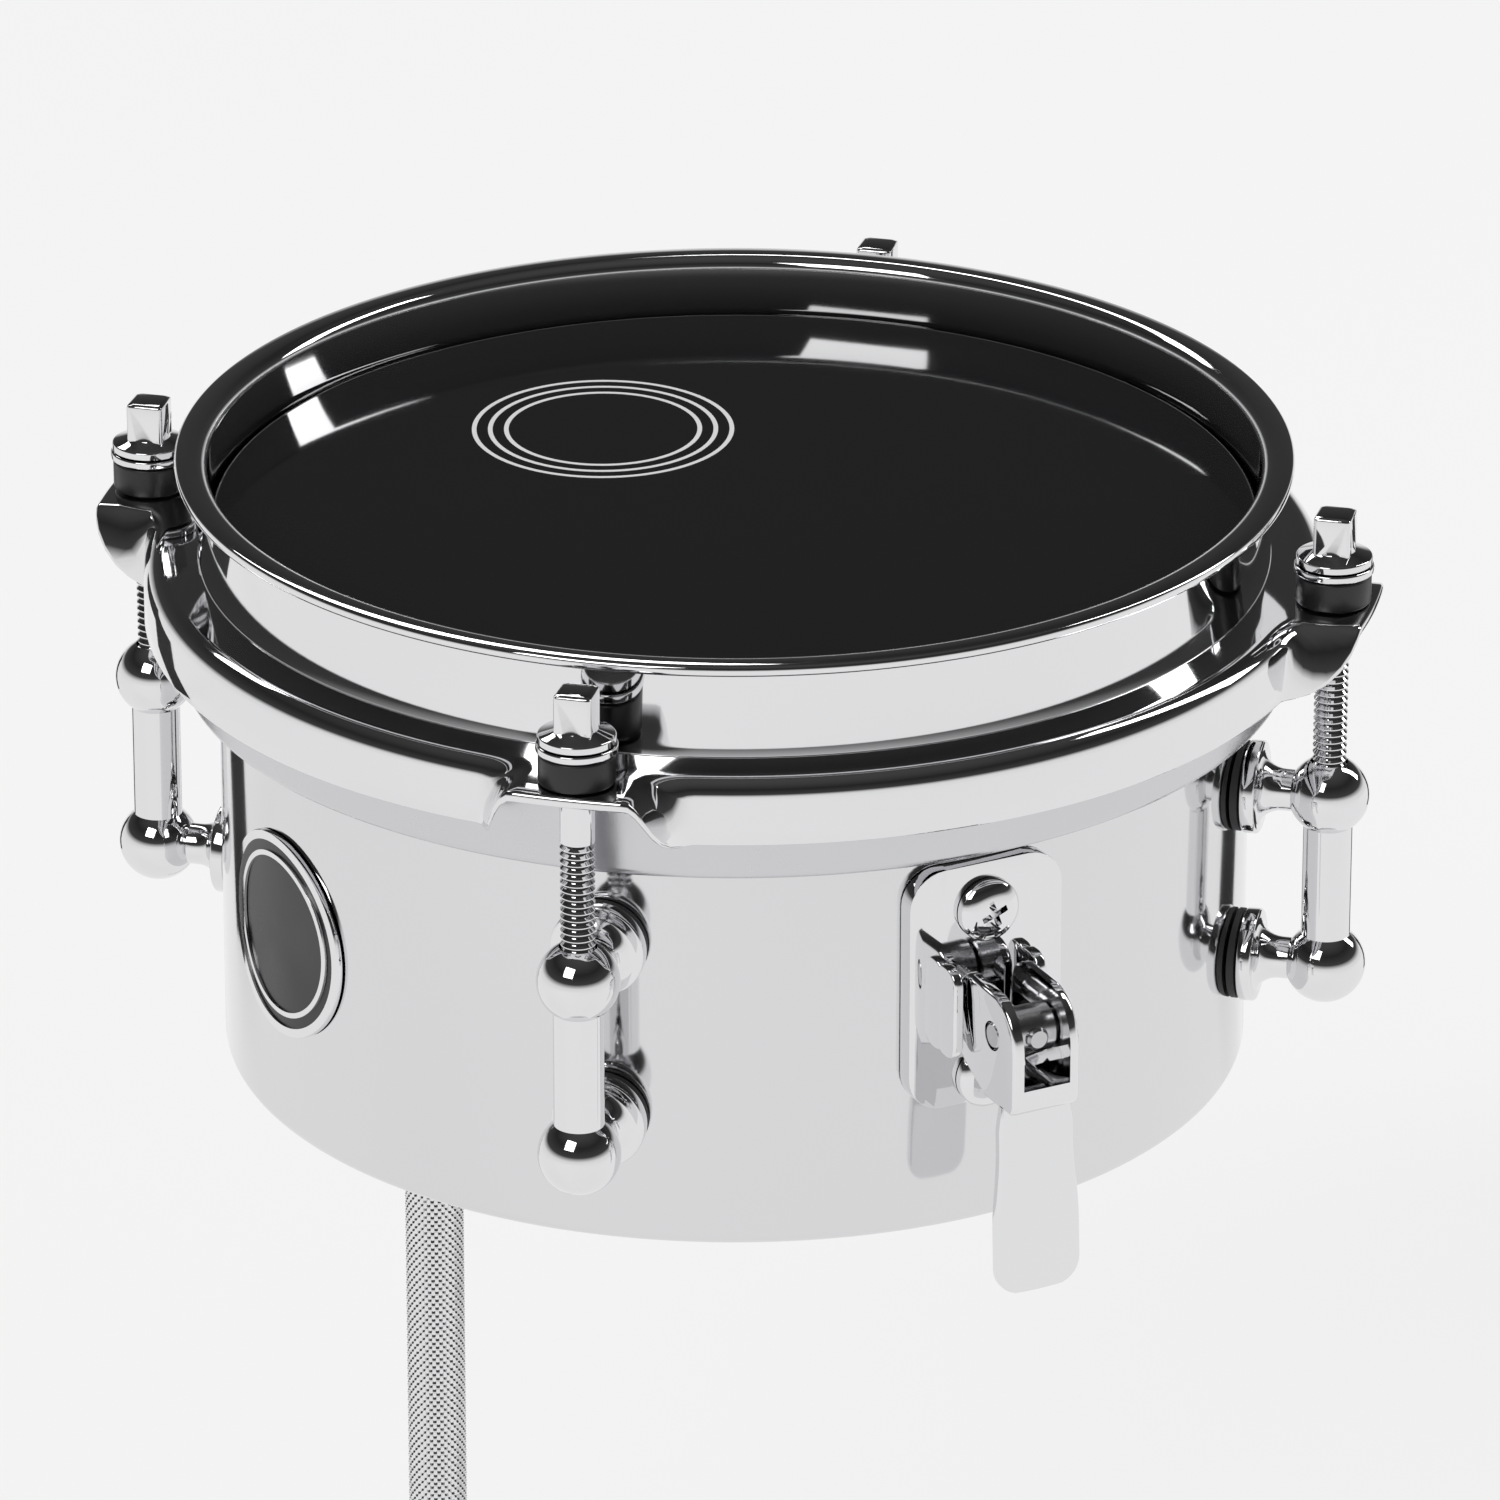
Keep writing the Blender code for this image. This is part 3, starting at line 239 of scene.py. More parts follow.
@dataclass
class Bench:
    """The steps that every piece is made with, and the drum's own place in the frame."""

    finishes: Finishes
    axis_y: float
    bottom_z: float

    def deselect(self) -> None:
        """Leaves edit mode and deselects everything."""
        if bpy.context.mode != "OBJECT":
            bpy.ops.object.mode_set(mode="OBJECT")
        bpy.ops.object.select_all(action="DESELECT")

    def select(self, piece: bpy.types.Object) -> None:
        """Makes this piece the only selected and the active one."""
        self.deselect()
        piece.select_set(True)
        bpy.context.view_layer.objects.active = piece

    def draw(self, points: list[Triple]) -> bpy.types.Object:
        """Draws a line through points by extruding one vertex, and stays in edit mode.

        Args:
            points: The line's points in order.

        Returns:
            The object that holds the line, all of it selected.
        """
        self.deselect()
        bpy.ops.mesh.primitive_plane_add(size=MM, location=(0, 0, 0))
        line = bpy.context.object
        bpy.ops.object.mode_set(mode="EDIT")
        bpy.ops.mesh.merge(type="CENTER")
        bpy.ops.transform.translate(value=points[0])
        for before, after in zip(points, points[1:]):
            step = tuple(b - a for a, b in zip(before, after))
            bpy.ops.mesh.extrude_region_move(TRANSFORM_OT_translate={"value": step})
        bpy.ops.mesh.select_all(action="SELECT")
        return line

    def lathe(self, profile: list[Point], steps: int = 64, closed: bool = False) -> bpy.types.Object:
        """Turns a profile about Z.

        Args:
            profile: (radius, height) points.
            steps: Facets round the axis.
            closed: Whether the profile is a ring's section.

        Returns:
            The turned mesh, in object mode at the origin.
        """
        points = [(radius, 0.0, height) for radius, height in profile]
        turned = self.draw(points + points[:1] if closed else points)
        bpy.ops.mesh.remove_doubles(threshold=MM * 0.001)
        bpy.ops.mesh.select_all(action="SELECT")
        bpy.ops.mesh.spin(steps=steps, angle=math.tau, center=(0, 0, 0), axis=(0, 0, 1))
        bpy.ops.mesh.select_all(action="SELECT")
        bpy.ops.mesh.remove_doubles(threshold=MM * 0.004)
        bpy.ops.mesh.normals_make_consistent(inside=False)
        bpy.ops.object.mode_set(mode="OBJECT")
        return turned

    def plate(self, outline: list[Point], thickness: float) -> bpy.types.Object:
        """A flat plate with its outline in XZ and its thickness along Y, from 0 to -thickness.

        Args:
            outline: (across, up) points.
            thickness: The plate's thickness.

        Returns:
            The plate, in object mode at the origin.
        """
        points = [(across, 0.0, up) for across, up in outline]
        made = self.draw(points + points[:1])
        bpy.ops.mesh.remove_doubles(threshold=MM * 0.001)
        bpy.ops.mesh.select_all(action="SELECT")
        bpy.ops.mesh.edge_face_add()
        bpy.ops.mesh.extrude_region_move(TRANSFORM_OT_translate={"value": (0, -thickness, 0)})
        bpy.ops.mesh.select_all(action="SELECT")
        bpy.ops.mesh.normals_make_consistent(inside=False)
        bpy.ops.object.mode_set(mode="OBJECT")
        return made

    def box(self, size: Triple, centre: Triple = (0.0, 0.0, 0.0), turn: float = 0.0) -> bpy.types.Object:
        """A box with its place, its turn about Z and its size in its mesh."""
        self.deselect()
        bpy.ops.mesh.primitive_cube_add(size=1, location=centre, rotation=(0, 0, turn), scale=size)
        bpy.ops.object.transform_apply(location=True, rotation=True, scale=True)
        return bpy.context.object

    def bore(
        self,
        piece: bpy.types.Object,
        radius: float,
        depth: float,
        centre: Triple,
        turn: Triple = UPRIGHT,
        sides: int = 40,
    ) -> None:
        """Drills a round hole into the piece.

        Args:
            piece: The piece.
            radius: The hole's radius.
            depth: The drill's length.
            centre: Its middle.
            turn: Its rotation from upright.
            sides: Its facets.
        """
        self.deselect()
        bpy.ops.mesh.primitive_cylinder_add(
            vertices=sides, radius=radius, depth=depth, location=centre, rotation=turn
        )
        self.cut(piece, bpy.context.object)

    def place(
        self, piece: bpy.types.Object, azimuth: float, out: float, up: float, facing: Facing = Facing.UP
    ) -> bpy.types.Object:
        """Moves a piece's mesh to its place round the drum.

        Args:
            piece: The piece, whose object stays at the origin.
            azimuth: Degrees from the strainer.
            out: Distance from the drum's axis.
            up: Height above the shell's bottom edge.
            facing: Where the mesh's +Z goes.

        Returns:
            The same piece.
        """
        turn = Matrix.Rotation(math.radians(azimuth), 4, "Z")
        lie = Matrix.Rotation(facing.value, 4, "X")
        stand = Matrix.Translation((0, self.axis_y, self.bottom_z)) @ turn @ Matrix.Translation((0, -out, up))
        piece.data.transform(stand @ lie)
        return piece

    def apply(self, piece: bpy.types.Object, kind: str, **settings: object) -> None:
        """Adds one modifier and applies it.

        Args:
            piece: The piece it goes on.
            kind: The modifier's type.
            settings: Its settings by name.
        """
        self.select(piece)
        modifier = piece.modifiers.new(kind.title(), kind)
        for name, value in settings.items():
            setattr(modifier, name, value)
        bpy.ops.object.modifier_apply(modifier=modifier.name)

    def bevel(self, piece: bpy.types.Object, width: float, segments: int = 3, angle: float = 35.0) -> None:
        """Rounds a piece's sharp edges by width."""
        limit = math.radians(angle)
        self.apply(piece, "BEVEL", width=width, segments=segments, limit_method="ANGLE", angle_limit=limit)

    def join(self, piece: bpy.types.Object, other: bpy.types.Object) -> None:
        """Unites another body with the piece and deletes the other."""
        self.apply(piece, "BOOLEAN", object=other, operation="UNION")
        bpy.data.objects.remove(other)

    def cut(self, piece: bpy.types.Object, tool: bpy.types.Object) -> None:
        """Cuts a body out of the piece and deletes the tool."""
        self.apply(piece, "BOOLEAN", object=tool, operation="DIFFERENCE")
        bpy.data.objects.remove(tool)

    def copy(self, piece: bpy.types.Object) -> bpy.types.Object:
        """A copy of the piece with its own mesh."""
        made = piece.copy()
        made.data = piece.data.copy()
        bpy.context.scene.collection.objects.link(made)
        return made

    def hug(self, piece: bpy.types.Object, radius: float, back_only: bool = False) -> None:
        """Bends a piece that faces -Y, its back at Y 0, to lie round the shell.

        Args:
            piece: The piece, before it is placed.
            radius: Radius of the round that its back lies on.
            back_only: Whether its front stays flat.
        """
        for vertex in piece.data.vertices:
            if not back_only or vertex.co.y > -0.01 * MM:
                vertex.co.y += radius - math.sqrt(radius * radius - vertex.co.x * vertex.co.x)

    def finish(
        self,
        piece: bpy.types.Object,
        name: str,
        finish: str,
        body: str,
        replaces: tuple[str, ...] = (),
        slot: str | None = None,
        smooth: float = 35.0,
    ) -> bpy.types.Object:
        """Names, shades, dresses and hands over a piece.

        Args:
            piece: The piece, in its place.
            name: Its name.
            finish: Its finish, by name.
            body: The body that it moves with.
            replaces: The CAD nodes that it stands for.
            slot: Not used.
            smooth: Edges flatter than this many degrees are shaded smooth.

        Returns:
            The same piece.
        """
        piece.name = name
        piece.data.name = name
        self.select(piece)
        bpy.ops.object.shade_smooth_by_angle(angle=math.radians(smooth))
        piece.data.materials.clear()
        piece.data.materials.append(self.finishes.get(finish))
        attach(piece, body)
        if replaces:
            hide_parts(*replaces)
        log.info("%s rides on %s", name, body)
        return piece


@dataclass
class ShellAssembly:
    """The shell with its curled edge, and the badge that lies round it."""

    bench: Bench
    radius: float = 76.2 * MM
    wall: float = 1.2 * MM
    height: float = 83.3 * MM
    curl: float = 1.6 * MM
    badge_azimuth: float = -86.7
    badge_height: float = 32.3 * MM
    badge_radius: float = 15.6 * MM
    badge_thick: float = 0.75 * MM
    gap: float = 0.3 * MM

    def build(self) -> None:
        """Builds the shell and the badge."""
        self.shell()
        self.badge()

    def shell(self) -> None:
        """The turned shell: a straight wall that curls inwards at the bottom."""
        inside = self.radius - self.wall
        lip = 0.35 * MM
        profile = arc((inside + lip, self.height - lip), lip, 180, 90, 3)
        profile += arc((self.radius - lip, self.height - lip), lip, 90, 0, 3)
        profile += arc((self.radius - self.curl, self.curl), self.curl, 0, -180, 14)
        profile += [(self.radius - 2 * self.curl, 2 * self.curl), (inside, 2 * self.curl + self.wall)]
        piece = self.bench.lathe(profile, 256, closed=True)
        self.bench.place(piece, 0, 0, 0)
        self.bench.finish(piece, "shell_surface", "shell_chrome", "drum", ("shell",), "chrome")

    def badge(self) -> None:
        """A dark enamel disc with two bright rings, bent round the shell."""
        rim, seat = self.badge_radius, self.badge_thick
        face = [(0, seat * 0.6), (rim - 1.2 * MM, seat * 0.6), (rim - 1.2 * MM, 0.05 * MM), (0, 0.05 * MM)]
        self.disc(face, "badge_face", "badge_enamel", "badge_enamel", ("badge",))
        for name, middle, width in (("rim", rim - 0.75 * MM, 1.5 * MM), ("inner", rim - 3.4 * MM, 0.9 * MM)):
            low = 0.0 if name == "rim" else seat * 0.5
            band = [(middle - width / 2, low)]
            band += arc((middle, seat - width * 0.2), width / 2, 180, 0, 6)[1:-1]
            band = [(radius, min(height, seat)) for radius, height in band]
            band += [(middle + width / 2, seat * 0.6), (middle + width / 2, low)]
            self.disc(band, f"badge_{name}_ring", "chrome", "chrome", (), closed=True)

    def disc(
        self,
        profile: list[Point],
        name: str,
        finish: str,
        slot: str,
        replaces: tuple[str, ...],
        closed: bool = False,
    ) -> None:
        """Turns one layer of the badge, bends it round the shell and places it."""
        piece = self.bench.lathe(profile, 96, closed)
        piece.data.transform(Matrix.Rotation(math.pi / 2, 4, "X"))
        back = self.radius + self.gap
        self.bench.hug(piece, back)
        self.bench.place(piece, self.badge_azimuth, back, self.badge_height)
        self.bench.finish(piece, name, finish, "drum", replaces, slot, smooth=50)


@dataclass
class HeadAssembly:
    """The black head in its flesh hoop, and the counterhoop that draws it down."""

    bench: Bench
    film_top: float = 84.0 * MM
    film: float = 0.4 * MM
    collar_inside: float = 76.5 * MM
    collar_bottom: float = 70.0 * MM
    shoulder: float = 1.2 * MM
    flesh_inside: float = 77.2 * MM
    flesh_outside: float = 82.0 * MM
    flesh_top: float = 75.7 * MM
    flesh_bottom: float = 60.0 * MM
    sheet: float = 1.6 * MM
    hoop_top: float = 92.8 * MM
    shelf_top: float = 77.6 * MM
    lip: float = 4.9 * MM
    shelf: float = 6.6 * MM
    roll_radius: float = 2.3 * MM
    roll_drop: float = 7.0 * MM
    ear_reach: float = 12.1 * MM
    ear_flat: float = math.radians(5.0)
    ear_fade: float = math.radians(5.5)
    rod_circle: float = 89.7 * MM
    ear_hole: float = 3.5 * MM
    print_out: float = 35.2 * MM
    print_azimuth: float = 186.7
    print_radius: float = 19.6 * MM
    print_step: float = 2.4 * MM
    print_line: float = 0.7 * MM
    print_count: int = 3

    def build(self) -> None:
        """Builds the film, its print, the flesh hoop and the counterhoop."""
        self.head()
        self.print_rings()
        self.flesh_hoop()
        self.counterhoop()

    def head(self) -> None:
        """The glossy film with its rounded shoulder and collar."""
        outside = self.collar_inside + self.film
        bend = self.shoulder
        profile = [(0, self.film_top), (30 * MM, self.film_top), (60 * MM, self.film_top)]
        profile += arc((outside - bend, self.film_top - bend), bend, 90, 0, 8)
        profile += [(outside, self.collar_bottom), (self.collar_inside, self.collar_bottom)]
        profile += arc((outside - bend, self.film_top - bend), bend - self.film, 0, 90, 6)
        profile.append((0, self.film_top - self.film))
        piece = self.bench.lathe(profile, 256)
        self.bench.place(piece, 0, 0, 0)
        self.bench.finish(piece, "head_surface", "black_film", "drum", ("head_film",))

    def print_rings(self) -> None:
        """Three plain thin rings printed near the head's back edge, one inside another."""
        thick = 0.03 * MM
        width = self.print_line
        for index in range(self.print_count):
            radius = self.print_radius - index * self.print_step
            low, high = self.film_top + thick * 0.2, self.film_top + thick
            band = [(radius - width, high), (radius, high), (radius, low), (radius - width, low)]
            piece = self.bench.lathe(band, 128, closed=True)
            piece.data.transform(Matrix.Translation((0, -self.print_out, 0)))
            self.bench.place(piece, self.print_azimuth, 0, 0)
            self.bench.finish(piece, f"print_ring_{index + 1}", "print_white", "drum", (), "black_film")

    def flesh_hoop(self) -> None:
        """The silver hoop with its rounded lower edge."""
        width = self.flesh_outside - self.flesh_inside
        edge, foot = 0.4 * MM, 1.5 * MM
        profile = [(self.flesh_inside, self.flesh_top)]
        profile += arc((self.flesh_outside - edge, self.flesh_top - edge), edge, 90, 0, 3)
        profile += arc((self.flesh_outside - foot, self.flesh_bottom + foot), foot, 0, -90, 8)
        profile.append((self.flesh_outside - width, self.flesh_bottom))
        piece = self.bench.lathe(profile, 256, closed=True)
        self.bench.place(piece, 0, 0, 0)
        self.bench.finish(piece, "flesh_hoop_surface", "flesh_silver", "drum", ("flesh_hoop",))

    def ear_share(self, azimuth: float) -> float:
        """How far the flange is unbent at an azimuth.

        Args:
            azimuth: In radians.

        Returns:
            1 on an ear's flat, 0 where the flange is fully rolled, smooth between.
        """
        away = min(abs(math.remainder(azimuth - math.radians(side.value), math.tau)) for side in Side)
        away = min(max((away - self.ear_flat) / self.ear_fade, 0.0), 1.0)
        return 1 - away * away * (3 - 2 * away)

    def sheet_path(self, share: float) -> list[Point]:
        """The middle of the sheet from the lip's edge to the flange's edge, with its bends rounded."""
        middle = self.flesh_inside + self.sheet / 2
        lip, shelf = self.hoop_top - self.sheet / 2, self.shelf_top - self.sheet / 2
        bend = middle + self.shelf - self.sheet / 2
        small = 1.0 * MM
        path = [(self.flesh_inside + self.lip, lip)]
        path += arc((middle + small, lip - small), small, 90, 180, 4)
        path += arc((middle + small, shelf + small), small, 180, 270, 4)
        path.append((bend, shelf))
        turn = (1 - share) * math.pi / 2
        radius, height = bend, shelf
        steps = 8
        for index in range(steps):
            heading = turn * (index + 0.5) / steps
            step = self.roll_radius * math.pi / 2 / steps
            radius += step * math.cos(heading)
            height -= step * math.sin(heading)
            path.append((radius, height))
        straight = self.ear_reach - self.roll_radius * math.pi / 2
        rest = self.roll_drop + share * (straight - self.roll_drop)
        for part in (0.5, 1.0):
            path.append((radius + rest * part * math.cos(turn), height - rest * part * math.sin(turn)))
        return path

    def section(self, share: float) -> list[Point]:
        """The sheet's closed section, with both its edges rounded."""
        path = self.sheet_path(share)
        left, right = [], []
        for index, point in enumerate(path):
            before, after = path[max(index - 1, 0)], path[min(index + 1, len(path) - 1)]
            run = (Vector(after) - Vector(before)).normalized()
            across = Vector((-run.y, run.x)) * self.sheet / 2
            left.append(Vector(point) + across)
            right.append(Vector(point) - across)
        return self.edge(left, right, 0) + right[1:-1] + self.edge(right, left, -1) + left[1:-1][::-1]

    def edge(self, one: list[Vector], other: list[Vector], end: int) -> list[Vector]:
        """A sheet's rounded edge at one end of its path, from one face to the other."""
        middle = (one[end] + other[end]) / 2
        inward = (one[1 if end == 0 else -2] + other[1 if end == 0 else -2]) / 2
        run = (middle - inward).normalized()
        half = (one[end] - other[end]) / 2
        centre = middle - run * half.length * 0.6
        turns = [math.pi * step / 6 for step in range(7)]
        return [centre + half * math.cos(turn) + run * half.length * 0.6 * math.sin(turn) for turn in turns]

    def azimuths(self) -> list[float]:
        """The sections' azimuths in radians: close at the ears, even between them."""
        reach = self.ear_flat + self.ear_fade
        near = [reach * index / 16 for index in range(-16, 17)]
        free = math.pi / 2 - 2 * reach
        between = [reach + free * index / 40 for index in range(1, 40)]
        return [math.radians(side.value) + step for side in Side for step in near + between]

    def counterhoop(self) -> None:
        """A loft, because no turned or extruded form opens from a roll into an ear."""
        points, faces = [], []
        azimuths = self.azimuths()
        for azimuth in azimuths:
            for out, up in self.section(self.ear_share(azimuth)):
                points.append((out * math.sin(azimuth), -out * math.cos(azimuth), up))
        count = len(points) // len(azimuths)
        for ring in range(len(azimuths)):
            near, far = ring * count, (ring + 1) % len(azimuths) * count
            for index in range(count):
                beside = (index + 1) % count
                faces.append((near + index, near + beside, far + beside, far + index))
        mesh = bpy.data.meshes.new("counterhoop_surface")
        mesh.from_pydata(points, [], faces)
        piece = bpy.data.objects.new("counterhoop_surface", mesh)
        bpy.context.scene.collection.objects.link(piece)
        self.bench.select(piece)
        bpy.ops.object.mode_set(mode="EDIT")
        bpy.ops.mesh.select_all(action="SELECT")
        bpy.ops.mesh.normals_make_consistent(inside=False)
        bpy.ops.object.mode_set(mode="OBJECT")
        for side in Side:
            azimuth = math.radians(side.value)
            spot = (self.rod_circle * math.sin(azimuth), -self.rod_circle * math.cos(azimuth), self.shelf_top)
            self.bench.bore(piece, self.ear_hole, 5 * self.sheet, spot, sides=48)
        self.bench.place(piece, 0, 0, 0)
        self.bench.finish(piece, "counterhoop_surface", "chrome", "drum", ("counterhoop",), smooth=40)


@dataclass
class TensionSet:
    """The four tension rods with their washers and sleeves."""

    bench: Bench
    circle: float = 89.7 * MM
    shank: float = 2.5 * MM
    end: float = 30.0 * MM
    thread_top: float = 68.2 * MM
    thread_pitch: float = 1.06 * MM
    thread_depth: float = 0.42 * MM
    crest: Point = (0.42, 0.56)
    flange_bottom: float = 84.0 * MM
    flange: float = 5.6 * MM
    flange_thick: float = 1.1 * MM
    head: float = 5.5 * MM
    head_top: float = 91.5 * MM
    sleeve: Point = (5.5 * MM, 4.3 * MM)
    sleeve_bottom: float = 77.9 * MM
    washer: Point = (5.85 * MM, 1.2 * MM)
    washer_bottom: float = 82.5 * MM
    hole: float = 2.8 * MM

    def build(self) -> None:
        """Builds one rod, washer and sleeve, and copies them to each side."""
        rod, washer, sleeve = self.rod(), self.ring(*self.washer), self.ring(*self.sleeve)
        kinds = (
            (rod, "tension_rod", 0.0, "chrome", None),
            (washer, "washer", self.washer_bottom, "chrome", "drum"),
            (sleeve, "sleeve", self.sleeve_bottom, "black_plastic", "drum"),
        )
        for side in Side:
            for pattern, word, up, finish, body in kinds:
                node = f"{word}_{side.word}"
                piece = self.bench.place(self.bench.copy(pattern), side.value, self.circle, up)
                self.bench.finish(piece, f"{node}_surface", finish, body or node, (node,))
        for pattern, *_ in kinds:
            bpy.data.objects.remove(pattern)

    def rod(self) -> bpy.types.Object:
        """A rod: a square domed head on a flared flange, a plain neck and a cut thread."""
        top = self.flange_bottom + self.flange_thick
        edge = 0.3 * MM
        profile = [(0, top + 1.6 * MM), (self.head * 0.48, top + 1.6 * MM)]
        profile.append((self.head * 0.56, top + 0.7 * MM))
        profile += arc((self.flange - edge, top - edge), edge, 80, 0, 4)
        profile += [(self.flange, self.flange_bottom), (self.shank, self.flange_bottom)]
        profile += [(self.shank, self.thread_top + 0.4 * MM)]
        turns = int((self.thread_top - self.end) / self.thread_pitch)
        for turn in range(turns):
            height = self.thread_top - turn * self.thread_pitch
            profile.append((self.shank - self.thread_depth, height))
            profile += [(self.shank, height - self.thread_pitch * part) for part in self.crest]
        profile += [(self.shank - 0.7 * MM, self.end), (0, self.end)]
        rod = self.bench.lathe(profile, 48)
        bottom = top - self.flange_thick / 2
        tall = self.head_top - bottom
        square = self.bench.box((self.head, self.head, tall), (0, 0, bottom + tall / 2))
        self.bench.apply(square, "BEVEL", width=0.55 * MM, segments=3)
        dome = 11.0 * MM
        bpy.ops.mesh.primitive_uv_sphere_add(
            segments=64, ring_count=32, radius=dome, location=(0, 0, self.head_top - dome + 0.35 * MM)
        )
        ball = bpy.context.object
        self.bench.apply(square, "BOOLEAN", object=ball, operation="INTERSECT")
        bpy.data.objects.remove(ball)
        self.bench.join(rod, square)
        return rod

    def ring(self, outside: float, tall: float) -> bpy.types.Object:
        """A ring with rounded outer edges, from height 0 to tall."""
        edge = 0.3 * MM
        profile = [(self.hole, tall)] + arc((outside - edge, tall - edge), edge, 90, 0, 4)
        profile += arc((outside - edge, edge), edge, 0, -90, 4) + [(self.hole, 0)]
        return self.bench.lathe(profile, 48, closed=True)


@dataclass
class LugSet:
    """The four tube lugs with their gaskets, and their screws inside the shell."""

    bench: Bench
    circle: float = 89.7 * MM
    shell: float = 76.5 * MM
    ball: float = 6.0 * MM
    barrel: float = 3.65 * MM
    low: float = 20.0 * MM
    high: float = 47.0 * MM
    neck: float = 3.1 * MM
    foot: float = 6.9 * MM
    foot_thick: float = 2.2 * MM
    flare: float = 3.4 * MM
    foot_back: float = 77.6 * MM
    gasket: float = 0.8 * MM
    bore: float = 2.75 * MM
    rod_end: float = 28.0 * MM
    screw_head: float = 3.6 * MM
    screw_seat: float = 74.6 * MM

    def build(self) -> None:
        """Builds one lug, gasket and screw, and copies them to each side."""
        lug, gasket, screw = self.lug(), self.washer(), self.screw()
        for side in Side:
            piece = self.bench.place(self.bench.copy(lug), side.value, self.circle, 0)
            self.bench.finish(piece, f"lug_{side.word}_surface", "chrome", "drum", (f"lug_{side.word}",))
            for level, up in (("low", self.low), ("high", self.high)):
                node = f"lug_gasket_{side.word}_{level}"
                piece = self.bench.place(self.bench.copy(gasket), side.value, self.shell, up)
                self.bench.finish(piece, f"{node}_surface", "dark_rubber", "drum", (node,))
                node = f"lug_screw_{side.word}_{level}"
                piece = self.bench.place(self.bench.copy(screw), side.value, self.screw_seat, up, Facing.IN)
                self.bench.finish(piece, f"{node}_surface", "steel", "drum", (node,))
        for pattern in (lug, gasket, screw):
            bpy.data.objects.remove(pattern)

    def lug(self) -> bpy.types.Object:
        """A ball, a barrel and a ball, two flared feet, and the bore that takes the rod."""
        meet = math.degrees(math.acos(self.barrel / self.ball))
        profile = [(0, self.high + self.ball)] + arc((0, self.high), self.ball, 90, -meet, 20)[1:]
        profile += arc((0, self.low), self.ball, meet, -90, 20)[:-1] + [(0, self.low - self.ball)]
        lug = self.bench.lathe(profile, 64)
        reach = self.circle - self.foot_back
        edge = 0.35 * MM
        for level in (self.low, self.high):
            profile = [(0, reach)]
            profile += arc((self.foot - edge, reach - edge), edge, 90, 0, 3)
            profile += arc((self.foot - edge, reach - self.foot_thick + edge), edge, 0, -90, 3)
            start = reach - self.foot_thick
            width = self.foot - self.neck - 1.1 * MM
            profile += [
                (self.neck + width * (1 - math.sin(turn)), start - self.flare * (1 - math.cos(turn)))
                for turn in [math.pi / 2 * step / 8 for step in range(9)]
            ]
            profile += [(self.neck, -1.2 * MM), (0, -1.2 * MM)]
            neck = self.bench.lathe(profile, 56)
            neck.data.transform(Matrix.Translation((0, 0, level)) @ Matrix.Rotation(-math.pi / 2, 4, "X"))
            self.bench.join(lug, neck)
        tall = self.high + self.ball - self.rod_end + 2 * CUT_PAST
        self.bench.bore(lug, self.bore, tall, (0, 0, self.rod_end + tall / 2))
        return lug

    def washer(self) -> bpy.types.Object:
        """A thin gasket whose back lies round the shell and whose front stays flat."""
        rim = self.foot - 0.2 * MM
        edge = 0.1 * MM
        profile = [(0, self.gasket), (rim - edge, self.gasket), (rim, self.gasket - edge), (rim, 0), (0, 0)]
        piece = self.bench.lathe(profile, 56)
        piece.data.transform(Matrix.Rotation(math.pi / 2, 4, "X"))
        self.bench.hug(piece, self.shell, back_only=True)
        return piece

    def screw(self) -> bpy.types.Object:
        """A low round screw head with a cross recess, along +Z."""
        return pan_screw(self.bench, self.screw_head, 2.0 * MM, 8.0 * MM)


def pan_screw(bench: Bench, head: float, thick: float, length: float) -> bpy.types.Object:
    """A pan head screw with a cross recess.

    Args:
        bench: Where it is made.
        head: The head's radius.
        thick: The head's height above the origin.
        length: The shank's length below it.

    Returns:
        The screw along +Z, its head's seat at the origin.
    """
    shank = 1.7 * MM
    pan = ((0.0, 1.0), (0.35, 0.985), (0.62, 0.9), (0.84, 0.7), (0.97, 0.48), (1.0, 0.38), (1.0, 0.0))
    profile = [(head * across, thick * up) for across, up in pan]
    profile += [(shank, 0), (shank, -length), (0, -length)]
    screw = bench.lathe(profile, 56)
    for turn in (0, math.pi / 2):
        blade = bench.box((head * 1.15, head * 0.26, thick * 1.2), (0, 0, thick), turn)
        for vertex in blade.data.vertices:
            if vertex.co.z < thick:
                vertex.co.x *= 0.55
                vertex.co.y *= 0.55
        bench.cut(screw, blade)
    return screw


